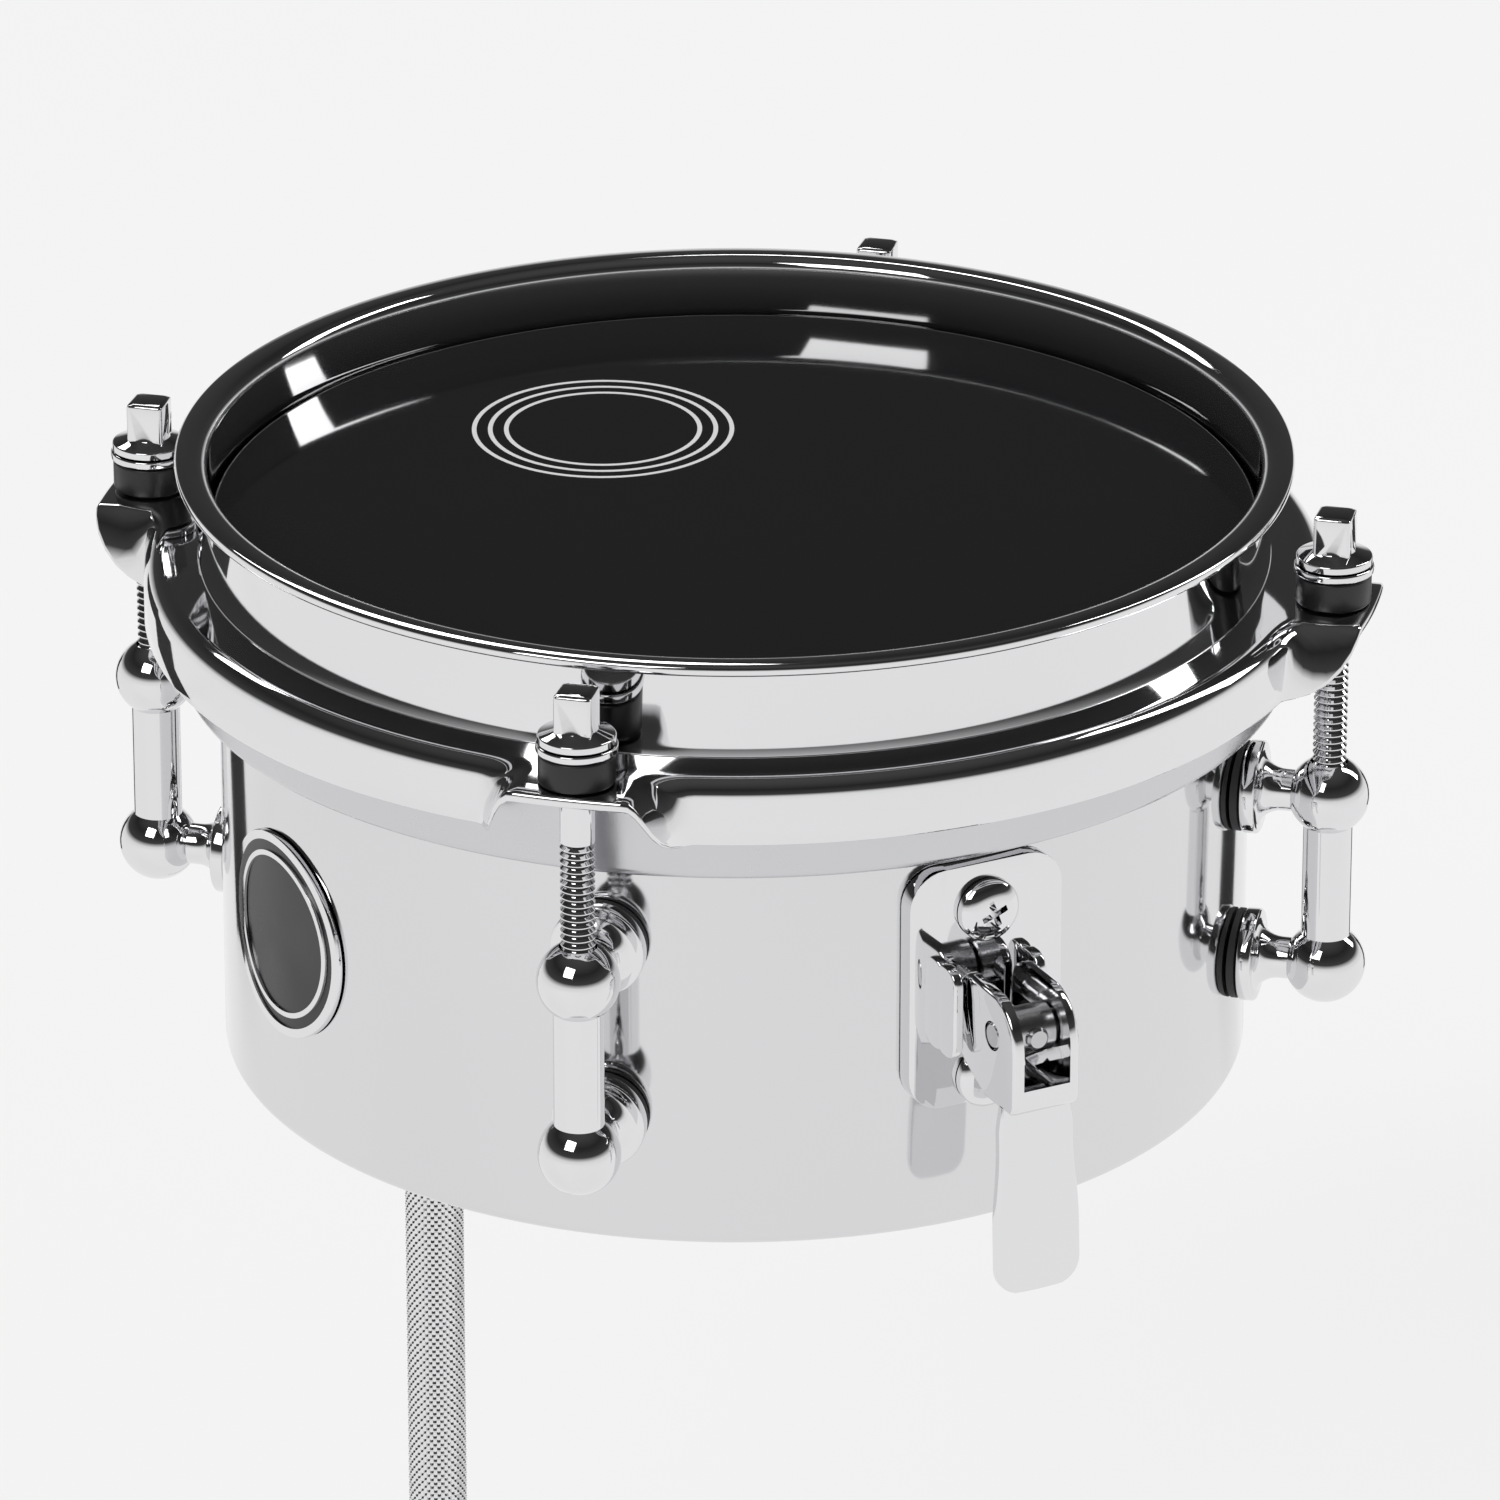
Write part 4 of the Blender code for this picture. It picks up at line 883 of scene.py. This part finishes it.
@dataclass
class Strainer:
    """The snare strainer: its plate and ears, screws, channel lever, trunnion pin and draw rod."""

    bench: Bench
    seat: float = 76.5 * MM
    plate_width: float = 24.5 * MM
    plate_bottom: float = 20.4 * MM
    plate_tall: float = 37.1 * MM
    plate_thick: float = 1.8 * MM
    plate_corner: float = 5.5 * MM
    cheek: Triple = (1.6 * MM, 4.6 * MM, 14.0 * MM)
    cheek_out: float = 6.7 * MM
    screws: tuple[float, float] = (50.4 * MM, 24.4 * MM)
    screw_head: float = 4.7 * MM
    pivot_out: float = 90.1 * MM
    pivot_up: float = 36.3 * MM
    width: float = 10.6 * MM
    sheet: float = 1.6 * MM
    back: float = 10.6 * MM
    top: float = 6.7 * MM
    corner: float = 4.0 * MM
    front: float = 6.7 * MM
    drop: float = 10.5 * MM
    window_drop: float = 6.4 * MM
    handle_width: float = 13.5 * MM
    handle_waist: float = 11.9 * MM
    handle_thick: float = 1.8 * MM
    handle_length: float = 29.4 * MM
    handle_forward: float = 2.3 * MM
    handle_lean: float = math.radians(3.0)
    trunnion: float = 1.9 * MM
    eye: float = 2.2 * MM
    barrel: float = 3.5 * MM
    rod: float = 1.7 * MM

    def build(self) -> None:
        """Builds the strainer's pieces from the shell outwards."""
        self.plate()
        self.screw_pair()
        self.lever()
        self.pin()
        self.draw_rod()

    def plate(self) -> None:
        """The base plate, its back bent to the shell, with two ears that stand out of it."""
        outline = rounded_rectangle(self.plate_width, self.plate_tall, self.plate_corner)
        plate = self.bench.plate(outline, self.plate_thick)
        self.bench.apply(plate, "TRIANGULATE")
        self.bench.select(plate)
        bpy.ops.object.mode_set(mode="EDIT")
        bpy.ops.mesh.select_all(action="SELECT")
        for index in range(1, 12):
            across = self.plate_width * (index / 12 - 0.5)
            bpy.ops.mesh.bisect(plane_co=(across, 0, 0), plane_no=(1, 0, 0))
            bpy.ops.mesh.select_all(action="SELECT")
        bpy.ops.object.mode_set(mode="OBJECT")
        self.bench.hug(plate, self.seat, back_only=True)
        self.bench.bevel(plate, 0.45 * MM, 3, 60)
        thick, reach, tall = self.cheek
        middle_up = self.pivot_up - (self.plate_bottom + self.plate_tall / 2)
        for side in (-1, 1):
            corner = thick * 1.6
            ear = self.bench.plate(rounded_rectangle(reach + 1.2 * MM, tall, corner), thick)
            self.bench.bevel(ear, 0.4 * MM, 3, 60)
            ear.data.transform(Matrix.Rotation(-math.pi / 2, 4, "Z"))
            shift = (side * self.cheek_out + thick / 2, -self.plate_thick - (reach - 1.2 * MM) / 2, middle_up)
            ear.data.transform(Matrix.Translation(shift))
            self.bench.join(plate, ear)
        self.bench.place(plate, 0, self.seat, self.plate_bottom + self.plate_tall / 2)
        self.bench.finish(plate, "strainer_plate_surface", "chrome", "drum", ("strainer_plate",))

    def screw_pair(self) -> None:
        """The plate's two cross-recess screws."""
        seat = self.seat + self.plate_thick + 0.15 * MM
        for word, up in zip(("top", "bottom"), self.screws):
            screw = pan_screw(self.bench, self.screw_head, 2.6 * MM, 7.0 * MM)
            screw.data.transform(Matrix.Rotation(math.radians(20 if word == "top" else 52), 4, "Z"))
            self.bench.place(screw, 0, seat, up, Facing.OUT)
            node = f"strainer_screw_{word}"
            self.bench.finish(screw, f"{node}_surface", "chrome", "drum", (node,))

    def lever(self) -> None:
        """The pressed channel with its cam-shaped walls, and the paddle that hangs from it."""
        head = self.bench.plate(self.side_outline(), self.width)
        side_on = Matrix.Rotation(-math.pi / 2, 4, "Z")
        head.data.transform(Matrix.Translation((self.width / 2, 0, 0)) @ side_on)
        self.bench.bevel(head, 0.7 * MM, 3, 50)
        deep = self.back + self.front - self.sheet + CUT_PAST
        tall = self.top + self.drop - self.sheet + CUT_PAST
        between = self.width - 2 * self.sheet
        middle = (0, deep / 2 - self.front + self.sheet, tall / 2 - self.drop + self.sheet)
        channel = self.bench.box((between, deep, tall), middle)
        self.bench.bevel(channel, 0.8 * MM, 3)
        self.bench.cut(head, channel)
        high = self.top + self.window_drop + CUT_PAST
        centre = (0, -self.front, high / 2 - self.window_drop)
        window = self.bench.box((between, 2 * self.front, high), centre)
        self.bench.cut(head, window)
        self.bench.bore(head, self.eye, self.width * 2, (0, 0, 0), (0, math.pi / 2, 0))
        paddle = self.bench.plate(self.paddle_outline(), self.handle_thick)
        self.bench.bevel(paddle, 0.6 * MM, 4, 60)
        lean = Matrix.Rotation(-self.handle_lean, 4, "X")
        shift = Matrix.Translation((0, -self.handle_forward + self.handle_thick / 2, 0))
        paddle.data.transform(shift @ lean)
        self.bench.join(head, paddle)
        self.bench.place(head, 0, self.pivot_out, self.pivot_up)
        self.bench.finish(head, "lever_surface", "chrome", "lever", ("lever",))

    def side_outline(self) -> list[Point]:
        """The lever's side as (outward, up) from its pivot."""
        points = arc((self.corner - self.back, self.top - self.corner), self.corner, 180, 90, 10)
        nose = self.front * 1.15
        points += arc((self.front - nose, self.top - nose), nose, 75, 0, 12)
        foot = 2.0 * MM
        points += arc((self.front - foot, foot - self.drop), foot, 0, -90, 6)
        points += [(-2.1 * MM, -self.drop), (2.3 * MM - self.back, 2.9 * MM - self.drop)]
        points.append((-self.back, 4.5 * MM - self.drop))
        return points

    def paddle_outline(self) -> list[Point]:
        """The paddle's front: narrow below the head, then its full width, with round lower corners."""
        top = -self.drop + self.sheet / 2
        bottom = top - self.handle_length
        half, waist, long = self.handle_width / 2, self.handle_waist / 2, self.handle_length
        right = []
        for step in range(13):
            part = step / 12
            swell = min(max((part - 0.3) / 0.5, 0), 1)
            narrow = 1 - min(part / 0.15, 1)
            across = waist + (half - waist) * swell * swell * (3 - 2 * swell)
            across -= narrow * (waist - self.width / 2)
            right.append((across, top - long * part * 0.82))
        round_corner = 4.0 * MM
        right += arc((half - round_corner, bottom + round_corner), round_corner, 0, -75, 6)
        right += arc((0, bottom + 9 * half), 9 * half, -86.5, -90, 2)
        return right + [(-across, up) for across, up in right[-2::-1]]

    def pin(self) -> None:
        """The trunnion: a barrel between the channel's walls with a short journal at each end."""
        half = self.width / 2
        step = half - self.sheet - 0.3 * MM
        edge = 0.25 * MM
        upper = [(0, half), (self.trunnion - edge, half), (self.trunnion, half - edge), (self.trunnion, step)]
        upper += [(self.barrel - edge, step), (self.barrel, step - edge)]
        pin = self.bench.lathe(upper + [(radius, -height) for radius, height in upper[::-1]], 48)
        pin.data.transform(Matrix.Rotation(math.pi / 2, 4, "Y"))
        self.bench.place(pin, 0, self.pivot_out, self.pivot_up)
        self.bench.finish(pin, "lever_pin_surface", "steel", "draw_gear", ("lever_pin",))

    def draw_rod(self) -> None:
        """The draw rod: threaded near its outer end, with a flat head inside the shell."""
        outer, inner = 94.3 * MM, 66.2 * MM
        depth, pitch = 0.28 * MM, 0.8 * MM
        profile = [(0, outer), (self.rod - 0.4 * MM, outer), (self.rod, outer - 0.4 * MM)]
        for turn in range(14):
            height = outer - 0.6 * MM - turn * pitch
            profile += [(self.rod - depth, height - pitch * 0.5), (self.rod, height - pitch)]
        head, thick = 3.4 * MM, 2.2 * MM
        profile += [(self.rod, inner), (head - 0.3 * MM, inner), (head, inner - 0.3 * MM)]
        profile += [(head, inner - thick + 0.3 * MM), (head - 0.3 * MM, inner - thick), (0, inner - thick)]
        rod = self.bench.lathe(profile, 40)
        self.bench.place(rod, 0, 0, self.pivot_up, Facing.OUT)
        self.bench.finish(rod, "draw_rod_surface", "steel", "draw_gear", ("draw_rod",))


@dataclass
class Snares:
    """The coiled snare wires under the head, between two soldered end plates."""

    bench: Bench
    strands: int = 8
    pitch: float = 2.2 * MM
    radius: float = 0.6 * MM
    wire: float = 0.16 * MM
    coil_pitch: float = 0.75 * MM
    height: float = 82.6 * MM
    near: float = 68.5 * MM
    far: float = 70.0 * MM
    plate: Triple = (18.6 * MM, 7.0 * MM, 1.0 * MM)
    plate_top: float = 82.4 * MM

    def build(self) -> None:
        """Builds the end plates and the coils, all on the draw gear."""
        half = self.plate[1] / 2
        pieces = [self.end_plate(self.near - half), self.end_plate(half - self.far)]
        pieces += [self.coil((index - (self.strands - 1) / 2) * self.pitch) for index in range(self.strands)]
        self.bench.deselect()
        for piece in pieces:
            piece.select_set(True)
        bpy.context.view_layer.objects.active = pieces[0]
        bpy.ops.object.join()
        wires = self.bench.place(pieces[0], 0, 0, 0)
        self.bench.finish(wires, "snare_wires_surface", "steel", "draw_gear", ("snare_wires",), smooth=60)

    def end_plate(self, out: float) -> bpy.types.Object:
        """One bevelled end plate, its centre this far out."""
        wide, deep, thick = self.plate
        made = self.bench.box((wide, deep, thick), (0, -out, self.plate_top - thick / 2))
        self.bench.bevel(made, 0.25 * MM, 2)
        return made

    def coil(self, across: float) -> bpy.types.Object:
        """One coil of fine wire from plate to plate, as a helix with a round section."""
        start, end = -self.near + 1.5 * MM, self.far - 1.5 * MM
        curve = bpy.data.curves.new("coil", "CURVE")
        curve.dimensions = "3D"
        curve.bevel_depth = self.wire
        curve.bevel_resolution = 0
        curve.use_fill_caps = True
        spline = curve.splines.new("POLY")
        per_turn = 8
        count = int((end - start) / self.coil_pitch) * per_turn
        spline.points.add(count)
        reach = self.radius - self.wire
        for index, point in enumerate(spline.points):
            turn = math.tau * index / per_turn
            along = start + (end - start) * index / count
            point.co = (across + reach * math.cos(turn), along, self.height + reach * math.sin(turn), 1)
        coil = bpy.data.objects.new("coil", curve)
        bpy.context.scene.collection.objects.link(coil)
        self.bench.select(coil)
        bpy.ops.object.convert(target="MESH")
        return bpy.context.object


@dataclass
class RodMount:
    """The knurled rod behind the drum, the bracket that slides on it, and its screws."""

    bench: Bench
    radius: float = 4.7625 * MM
    length: float = 254.0 * MM
    chamfer: Point = (0.9 * MM, 1.0 * MM)
    starts: int = 24
    rings: int = 180
    depth: float = 0.36 * MM
    fineness: int = 4
    rod_out: float = 105.6 * MM
    seat: float = 76.5 * MM
    plate: Triple = (26.0 * MM, 40.0 * MM, 1.8 * MM)
    middle: float = 38.0 * MM
    boss: Point = (10.26 * MM, 22.0 * MM)
    web: Point = (12.0 * MM, 16.0 * MM)
    screw_inset: float = 7.0 * MM
    hub: Point = (4.5 * MM, 7.0 * MM)
    wing: Triple = (26.0 * MM, 9.0 * MM, 2.4 * MM)
    bore_gap: float = 0.25 * MM
    wing_bore: float = 2.8 * MM

    def build(self) -> None:
        """Builds the rod, the bracket and the three screws."""
        self.rod()
        self.bracket()
        self.screws()
        self.wing_screw()

    def knurl(self, turn: float, up: float) -> float:
        """The knurl's height at a point of the rod.

        Args:
            turn: Angle round the rod in radians.
            up: Height above the rod's lower end.

        Returns:
            From 0 in a groove to 1 on a diamond's crest.
        """
        along = math.tau * up * self.rings / self.length
        phases = (self.starts * turn + along, self.starts * turn - along)
        return 1 - max(abs(math.remainder(phase / math.tau, 1.0)) * 2 for phase in phases)

    def rod(self) -> None:
        """A grid rolled into a tube, pressed into diamonds and closed with chamfered ends."""
        self.bench.deselect()
        facets, rows = self.starts * self.fineness, self.rings * self.fineness
        bpy.ops.mesh.primitive_grid_add(x_subdivisions=facets, y_subdivisions=rows, size=1)
        rod = bpy.context.object
        for vertex in rod.data.vertices:
            turn = (vertex.co.x + 0.5) * math.tau
            up = (vertex.co.y + 0.5) * self.length
            end = min(up, self.length - up)
            fade = min(end / self.chamfer[1], 1.0)
            groove = self.depth * fade * (1 - self.knurl(turn, up))
            radius = self.radius - (1 - fade) * self.chamfer[0] - groove
            vertex.co = (radius * math.sin(turn), -radius * math.cos(turn), up)
        bpy.ops.object.mode_set(mode="EDIT")
        bpy.ops.mesh.select_all(action="SELECT")
        bpy.ops.mesh.remove_doubles(threshold=MM * 0.01)
        bpy.ops.mesh.select_all(action="DESELECT")
        bpy.ops.mesh.select_mode(type="EDGE")
        bpy.ops.mesh.select_non_manifold()
        bpy.ops.mesh.fill_holes(sides=0)
        bpy.ops.mesh.select_all(action="SELECT")
        bpy.ops.mesh.fill_holes(sides=0)
        bpy.ops.mesh.normals_make_consistent(inside=False)
        bpy.ops.mesh.select_mode(type="VERT")
        bpy.ops.object.mode_set(mode="OBJECT")
        self.bench.finish(rod, "mounting_rod_surface", "knurled_steel", "rod", ("mounting_rod",), smooth=5)

    def bracket(self) -> None:
        """A plate bent to the shell, a web, and a boss bored for the rod and for the wing screw."""
        wide, tall, thick = self.plate
        plate = self.bench.plate(rounded_rectangle(wide, tall, 5.5 * MM), thick)
        self.bench.bevel(plate, 0.45 * MM, 3, 60)
        self.bench.hug(plate, self.seat, back_only=True)
        reach = self.rod_out - self.seat
        deep = reach - thick + CUT_PAST
        web = self.bench.box((self.web[0], deep, self.web[1]), (0, deep / 2 - reach, 0))
        self.bench.bevel(web, 1.2 * MM, 4)
        self.bench.join(plate, web)
        radius, high = self.boss[0], self.boss[1] / 2
        edge = 1.0 * MM
        profile = [(0, high)] + arc((radius - edge, high - edge), edge, 90, 0, 5)
        profile += arc((radius - edge, edge - high), edge, 0, -90, 5) + [(0, -high)]
        boss = self.bench.lathe(profile, 72)
        boss.data.transform(Matrix.Translation((0, -reach, 0)))
        self.bench.join(plate, boss)
        self.bench.bore(plate, self.radius + self.bore_gap, 4 * high, (0, -reach, 0), sides=56)
        past = (0, -reach - radius * 0.9, 0)
        self.bench.bore(plate, self.wing_bore, radius * 1.6, past, (math.pi / 2, 0, 0))
        self.bench.place(plate, 180, self.seat, self.middle)
        self.bench.finish(plate, "rod_bracket_surface", "chrome", "drum", ("rod_bracket",))

    def screws(self) -> None:
        """The bracket's two screws."""
        seat = self.seat + self.plate[2] + 0.15 * MM
        for word, sign in (("top", 1), ("bottom", -1)):
            screw = pan_screw(self.bench, 4.7 * MM, 2.6 * MM, 7.0 * MM)
            up = self.middle + sign * (self.plate[1] / 2 - self.screw_inset)
            self.bench.place(screw, 180, seat, up, Facing.OUT)
            node = f"bracket_screw_{word}"
            self.bench.finish(screw, f"{node}_surface", "chrome", "drum", (node,))

    def wing_screw(self) -> None:
        """A turned hub and shank with two rounded wings."""
        tip, start = self.radius + 0.3 * MM, self.boss[0] + 0.3 * MM
        radius, tall = self.hub
        edge = 0.6 * MM
        profile = [(0, start + tall), (radius * 0.7 - edge, start + tall)]
        profile += arc((radius * 0.7 - edge, start + tall - edge), edge, 75, 15, 4)
        profile += [(radius, start + 0.4 * MM), (radius - 0.4 * MM, start), (2.5 * MM, start)]
        profile += [(2.5 * MM, tip + 0.4 * MM), (2.1 * MM, tip), (0, tip)]
        screw = self.bench.lathe(profile, 48)
        wide, high, thick = self.wing
        wings = self.bench.plate(rounded_rectangle(wide, high, high * 0.45), thick)
        self.bench.bevel(wings, 0.7 * MM, 4, 60)
        wings.data.transform(Matrix.Translation((0, thick / 2, start + tall - high * 0.2)))
        self.bench.join(screw, wings)
        self.bench.place(screw, 180, self.rod_out, self.middle, Facing.OUT)
        self.bench.finish(screw, "wing_screw_surface", "chrome", "wing", ("wing_screw",))


@dataclass
class Studio:
    """A plain pale floor, a room that is pale low down and dark overhead, and three soft lamps."""

    bench: Bench
    azimuth: float = -27.2
    elevation: float = 23.44
    distance: float = 1588 * MM
    aim_up: float = 50 * MM
    lens: float = 257.3
    centre: Point = (-15.5, -34.8)
    picture: float = 1500.0
    floor_size: float = 12.0
    floor_drop: float = 0.4 * MM
    pale: float = 0.88
    glow: float = 0.95
    glow_share: float = 0.7
    daylight: float = 0.62
    card_turn: float = math.radians(137)
    card_out: float = 0.5
    card_level: float = 0.05
    card: Triple = (0.1, 0.004, 0.25)

    def build(self) -> None:
        """Builds the camera, floor, room and lamps."""
        bpy.context.scene.view_settings.view_transform = "Standard"
        self.camera()
        self.floor()
        self.room()
        self.lamps()

    def camera(self) -> None:
        """A long lens on the photograph's bearing, with its principal point off the middle."""
        turn, rise = math.radians(self.azimuth), math.radians(self.elevation)
        away = Vector((math.sin(turn) * math.cos(rise), -math.cos(turn) * math.cos(rise), math.sin(rise)))
        aim = Vector((0, self.bench.axis_y, self.bench.bottom_z + self.aim_up))
        data = bpy.data.cameras.new("camera")
        data.lens = self.lens
        data.shift_x = -self.centre[0] / self.picture
        data.shift_y = self.centre[1] / self.picture
        camera = bpy.data.objects.new("camera", data)
        camera.location = aim + away * self.distance
        camera.rotation_euler = (math.pi / 2 - rise, 0, turn)
        bpy.context.scene.collection.objects.link(camera)
        bpy.context.scene.camera = camera

    def floor(self) -> None:
        """A wide matt floor under the rod's end."""
        self.bench.deselect()
        bpy.ops.mesh.primitive_plane_add(size=self.floor_size, location=(0, 0, -self.floor_drop))
        floor = bpy.context.object
        floor.name = "floor"
        material = self.matt("floor_paper", self.pale)
        nodes, links = material.node_tree.nodes, material.node_tree.links
        shader = nodes["Principled BSDF"]
        glow = nodes.new("ShaderNodeEmission")
        glow.inputs["Strength"].default_value = self.glow
        seen = nodes.new("ShaderNodeLightPath")
        share = None
        for ray in ("Is Camera Ray", "Is Glossy Ray", "Is Transmission Ray"):
            add = nodes.new("ShaderNodeMath")
            add.operation = "MULTIPLY_ADD"
            add.inputs[1].default_value = self.glow_share
            links.new(seen.outputs[ray], add.inputs[0])
            add.inputs[2].default_value = 0.0
            if share:
                links.new(share, add.inputs[2])
            share = add.outputs[0]
        mix = nodes.new("ShaderNodeMixShader")
        links.new(share, mix.inputs["Fac"])
        links.new(shader.outputs["BSDF"], mix.inputs[1])
        links.new(glow.outputs["Emission"], mix.inputs[2])
        links.new(mix.outputs["Shader"], nodes["Material Output"].inputs["Surface"])
        floor.data.materials.append(material)
        floor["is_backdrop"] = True
        self.cards()

    def matt(self, name: str, level: float) -> bpy.types.Material:
        """A matt grey of this level, for what stands round the drum."""
        made = bpy.data.materials.new(name)
        made.use_nodes = True
        shader = made.node_tree.nodes["Principled BSDF"]
        shader.inputs["Base Color"].default_value = (level, level, level, 1)
        shader.inputs["Roughness"].default_value = 1.0
        shader.inputs["Specular IOR Level"].default_value = 0.0
        return made

    def cards(self) -> None:
        """Two black cards on the floor, out of view: the dark line near each side edge of the shell."""
        black = self.matt("card_black", self.card_level)
        for word, sign in (("left", -1), ("right", 1)):
            turn = math.radians(self.azimuth) + sign * self.card_turn
            self.bench.deselect()
            away = (self.card_out * math.sin(turn), self.bench.axis_y - self.card_out * math.cos(turn))
            spot = (*away, self.card[2] / 2 - self.floor_drop)
            bpy.ops.mesh.primitive_cube_add(size=1, location=spot, rotation=(0, 0, turn), scale=self.card)
            card = bpy.context.object
            card.name = f"card_{word}"
            card.data.materials.append(black)
            card.visible_camera = False
            card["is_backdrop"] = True

    def room(self) -> None:
        """The world: white to the camera and to matt surfaces, pale to dark upwards in polished ones."""
        world = bpy.data.worlds.new("room")
        bpy.context.scene.world = world
        world.use_nodes = True
        nodes, links = world.node_tree.nodes, world.node_tree.links
        plain = nodes["Background"]
        plain.inputs["Color"].default_value = (self.daylight, self.daylight, self.daylight, 1)
        mirrored = nodes.new("ShaderNodeBackground")
        where = nodes.new("ShaderNodeTexCoord")
        split = nodes.new("ShaderNodeSeparateXYZ")
        ramp = nodes.new("ShaderNodeValToRGB")
        links.new(where.outputs["Generated"], split.inputs["Vector"])
        links.new(split.outputs["Z"], ramp.inputs["Fac"])
        stops = ((0.0, 0.80), (0.08, 0.50), (0.20, 0.05), (0.6, 0.02), (1.0, 0.06))
        ramp.color_ramp.elements.remove(ramp.color_ramp.elements[0])
        for index, (height, level) in enumerate(stops):
            stop = ramp.color_ramp.elements[0] if index == 0 else ramp.color_ramp.elements.new(height)
            stop.position = height
            stop.color = (level, level, level, 1)
        links.new(ramp.outputs["Color"], mirrored.inputs["Color"])
        path = nodes.new("ShaderNodeLightPath")
        mix = nodes.new("ShaderNodeMixShader")
        links.new(path.outputs["Is Glossy Ray"], mix.inputs["Fac"])
        links.new(plain.outputs["Background"], mix.inputs[1])
        links.new(mirrored.outputs["Background"], mix.inputs[2])
        links.new(mix.outputs["Shader"], nodes["World Output"].inputs["Surface"])

    def lamps(self) -> None:
        """Three softboxes: high left, high right and one behind."""
        boxes = (
            ("left_softbox", (-1.3, -0.9, 1.5), (0.9, 0.9), 9.0),
            ("right_softbox", (1.4, -0.2, 1.3), (0.35, 1.2), 7.0),
            ("back_softbox", (0.2, 1.4, 1.5), (1.1, 0.3), 4.0),
        )
        aim = Vector((0, self.bench.axis_y, self.bench.bottom_z))
        for name, spot, size, power in boxes:
            data = bpy.data.lights.new(name, "AREA")
            data.shape = "RECTANGLE"
            data.size, data.size_y = size
            data.energy = power
            lamp = bpy.data.objects.new(name, data)
            lamp.location = spot
            lamp.rotation_euler = (aim - Vector(spot)).to_track_quat("-Z", "Y").to_euler()
            bpy.context.scene.collection.objects.link(lamp)


def dress_inner_steel(frame: dict, bench: Bench) -> None:
    """Gives the plain inner pieces, whose shapes are right as they are, their finish.

    Args:
        bench: Holds the finishes.
    """
    for name in ("snare_carrier", "butt_bracket", "strainer_nut_top", "strainer_nut_bottom"):
        node = frame["nodes"][name]
        node.data.materials.clear()
        node.data.materials.append(bench.finishes.get("steel"))


def corners() -> list[list[float]]:
    """The shown object's lowest and highest corner as plain lists."""
    return [list(corner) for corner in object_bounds()]


def main() -> None:
    """Builds every sub-assembly round the frame, then the studio."""
    logging.basicConfig(level=logging.INFO, format="%(message)s")
    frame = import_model()
    low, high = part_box("shell")
    bench = Bench(Finishes(), (low.y + high.y) / 2, low.z)
    Studio(bench).build()
    for assembly in (ShellAssembly, HeadAssembly, TensionSet, LugSet, Strainer, Snares, RodMount):
        assembly(bench).build()
    dress_inner_steel(frame, bench)


if __name__ == "__main__":
    main()
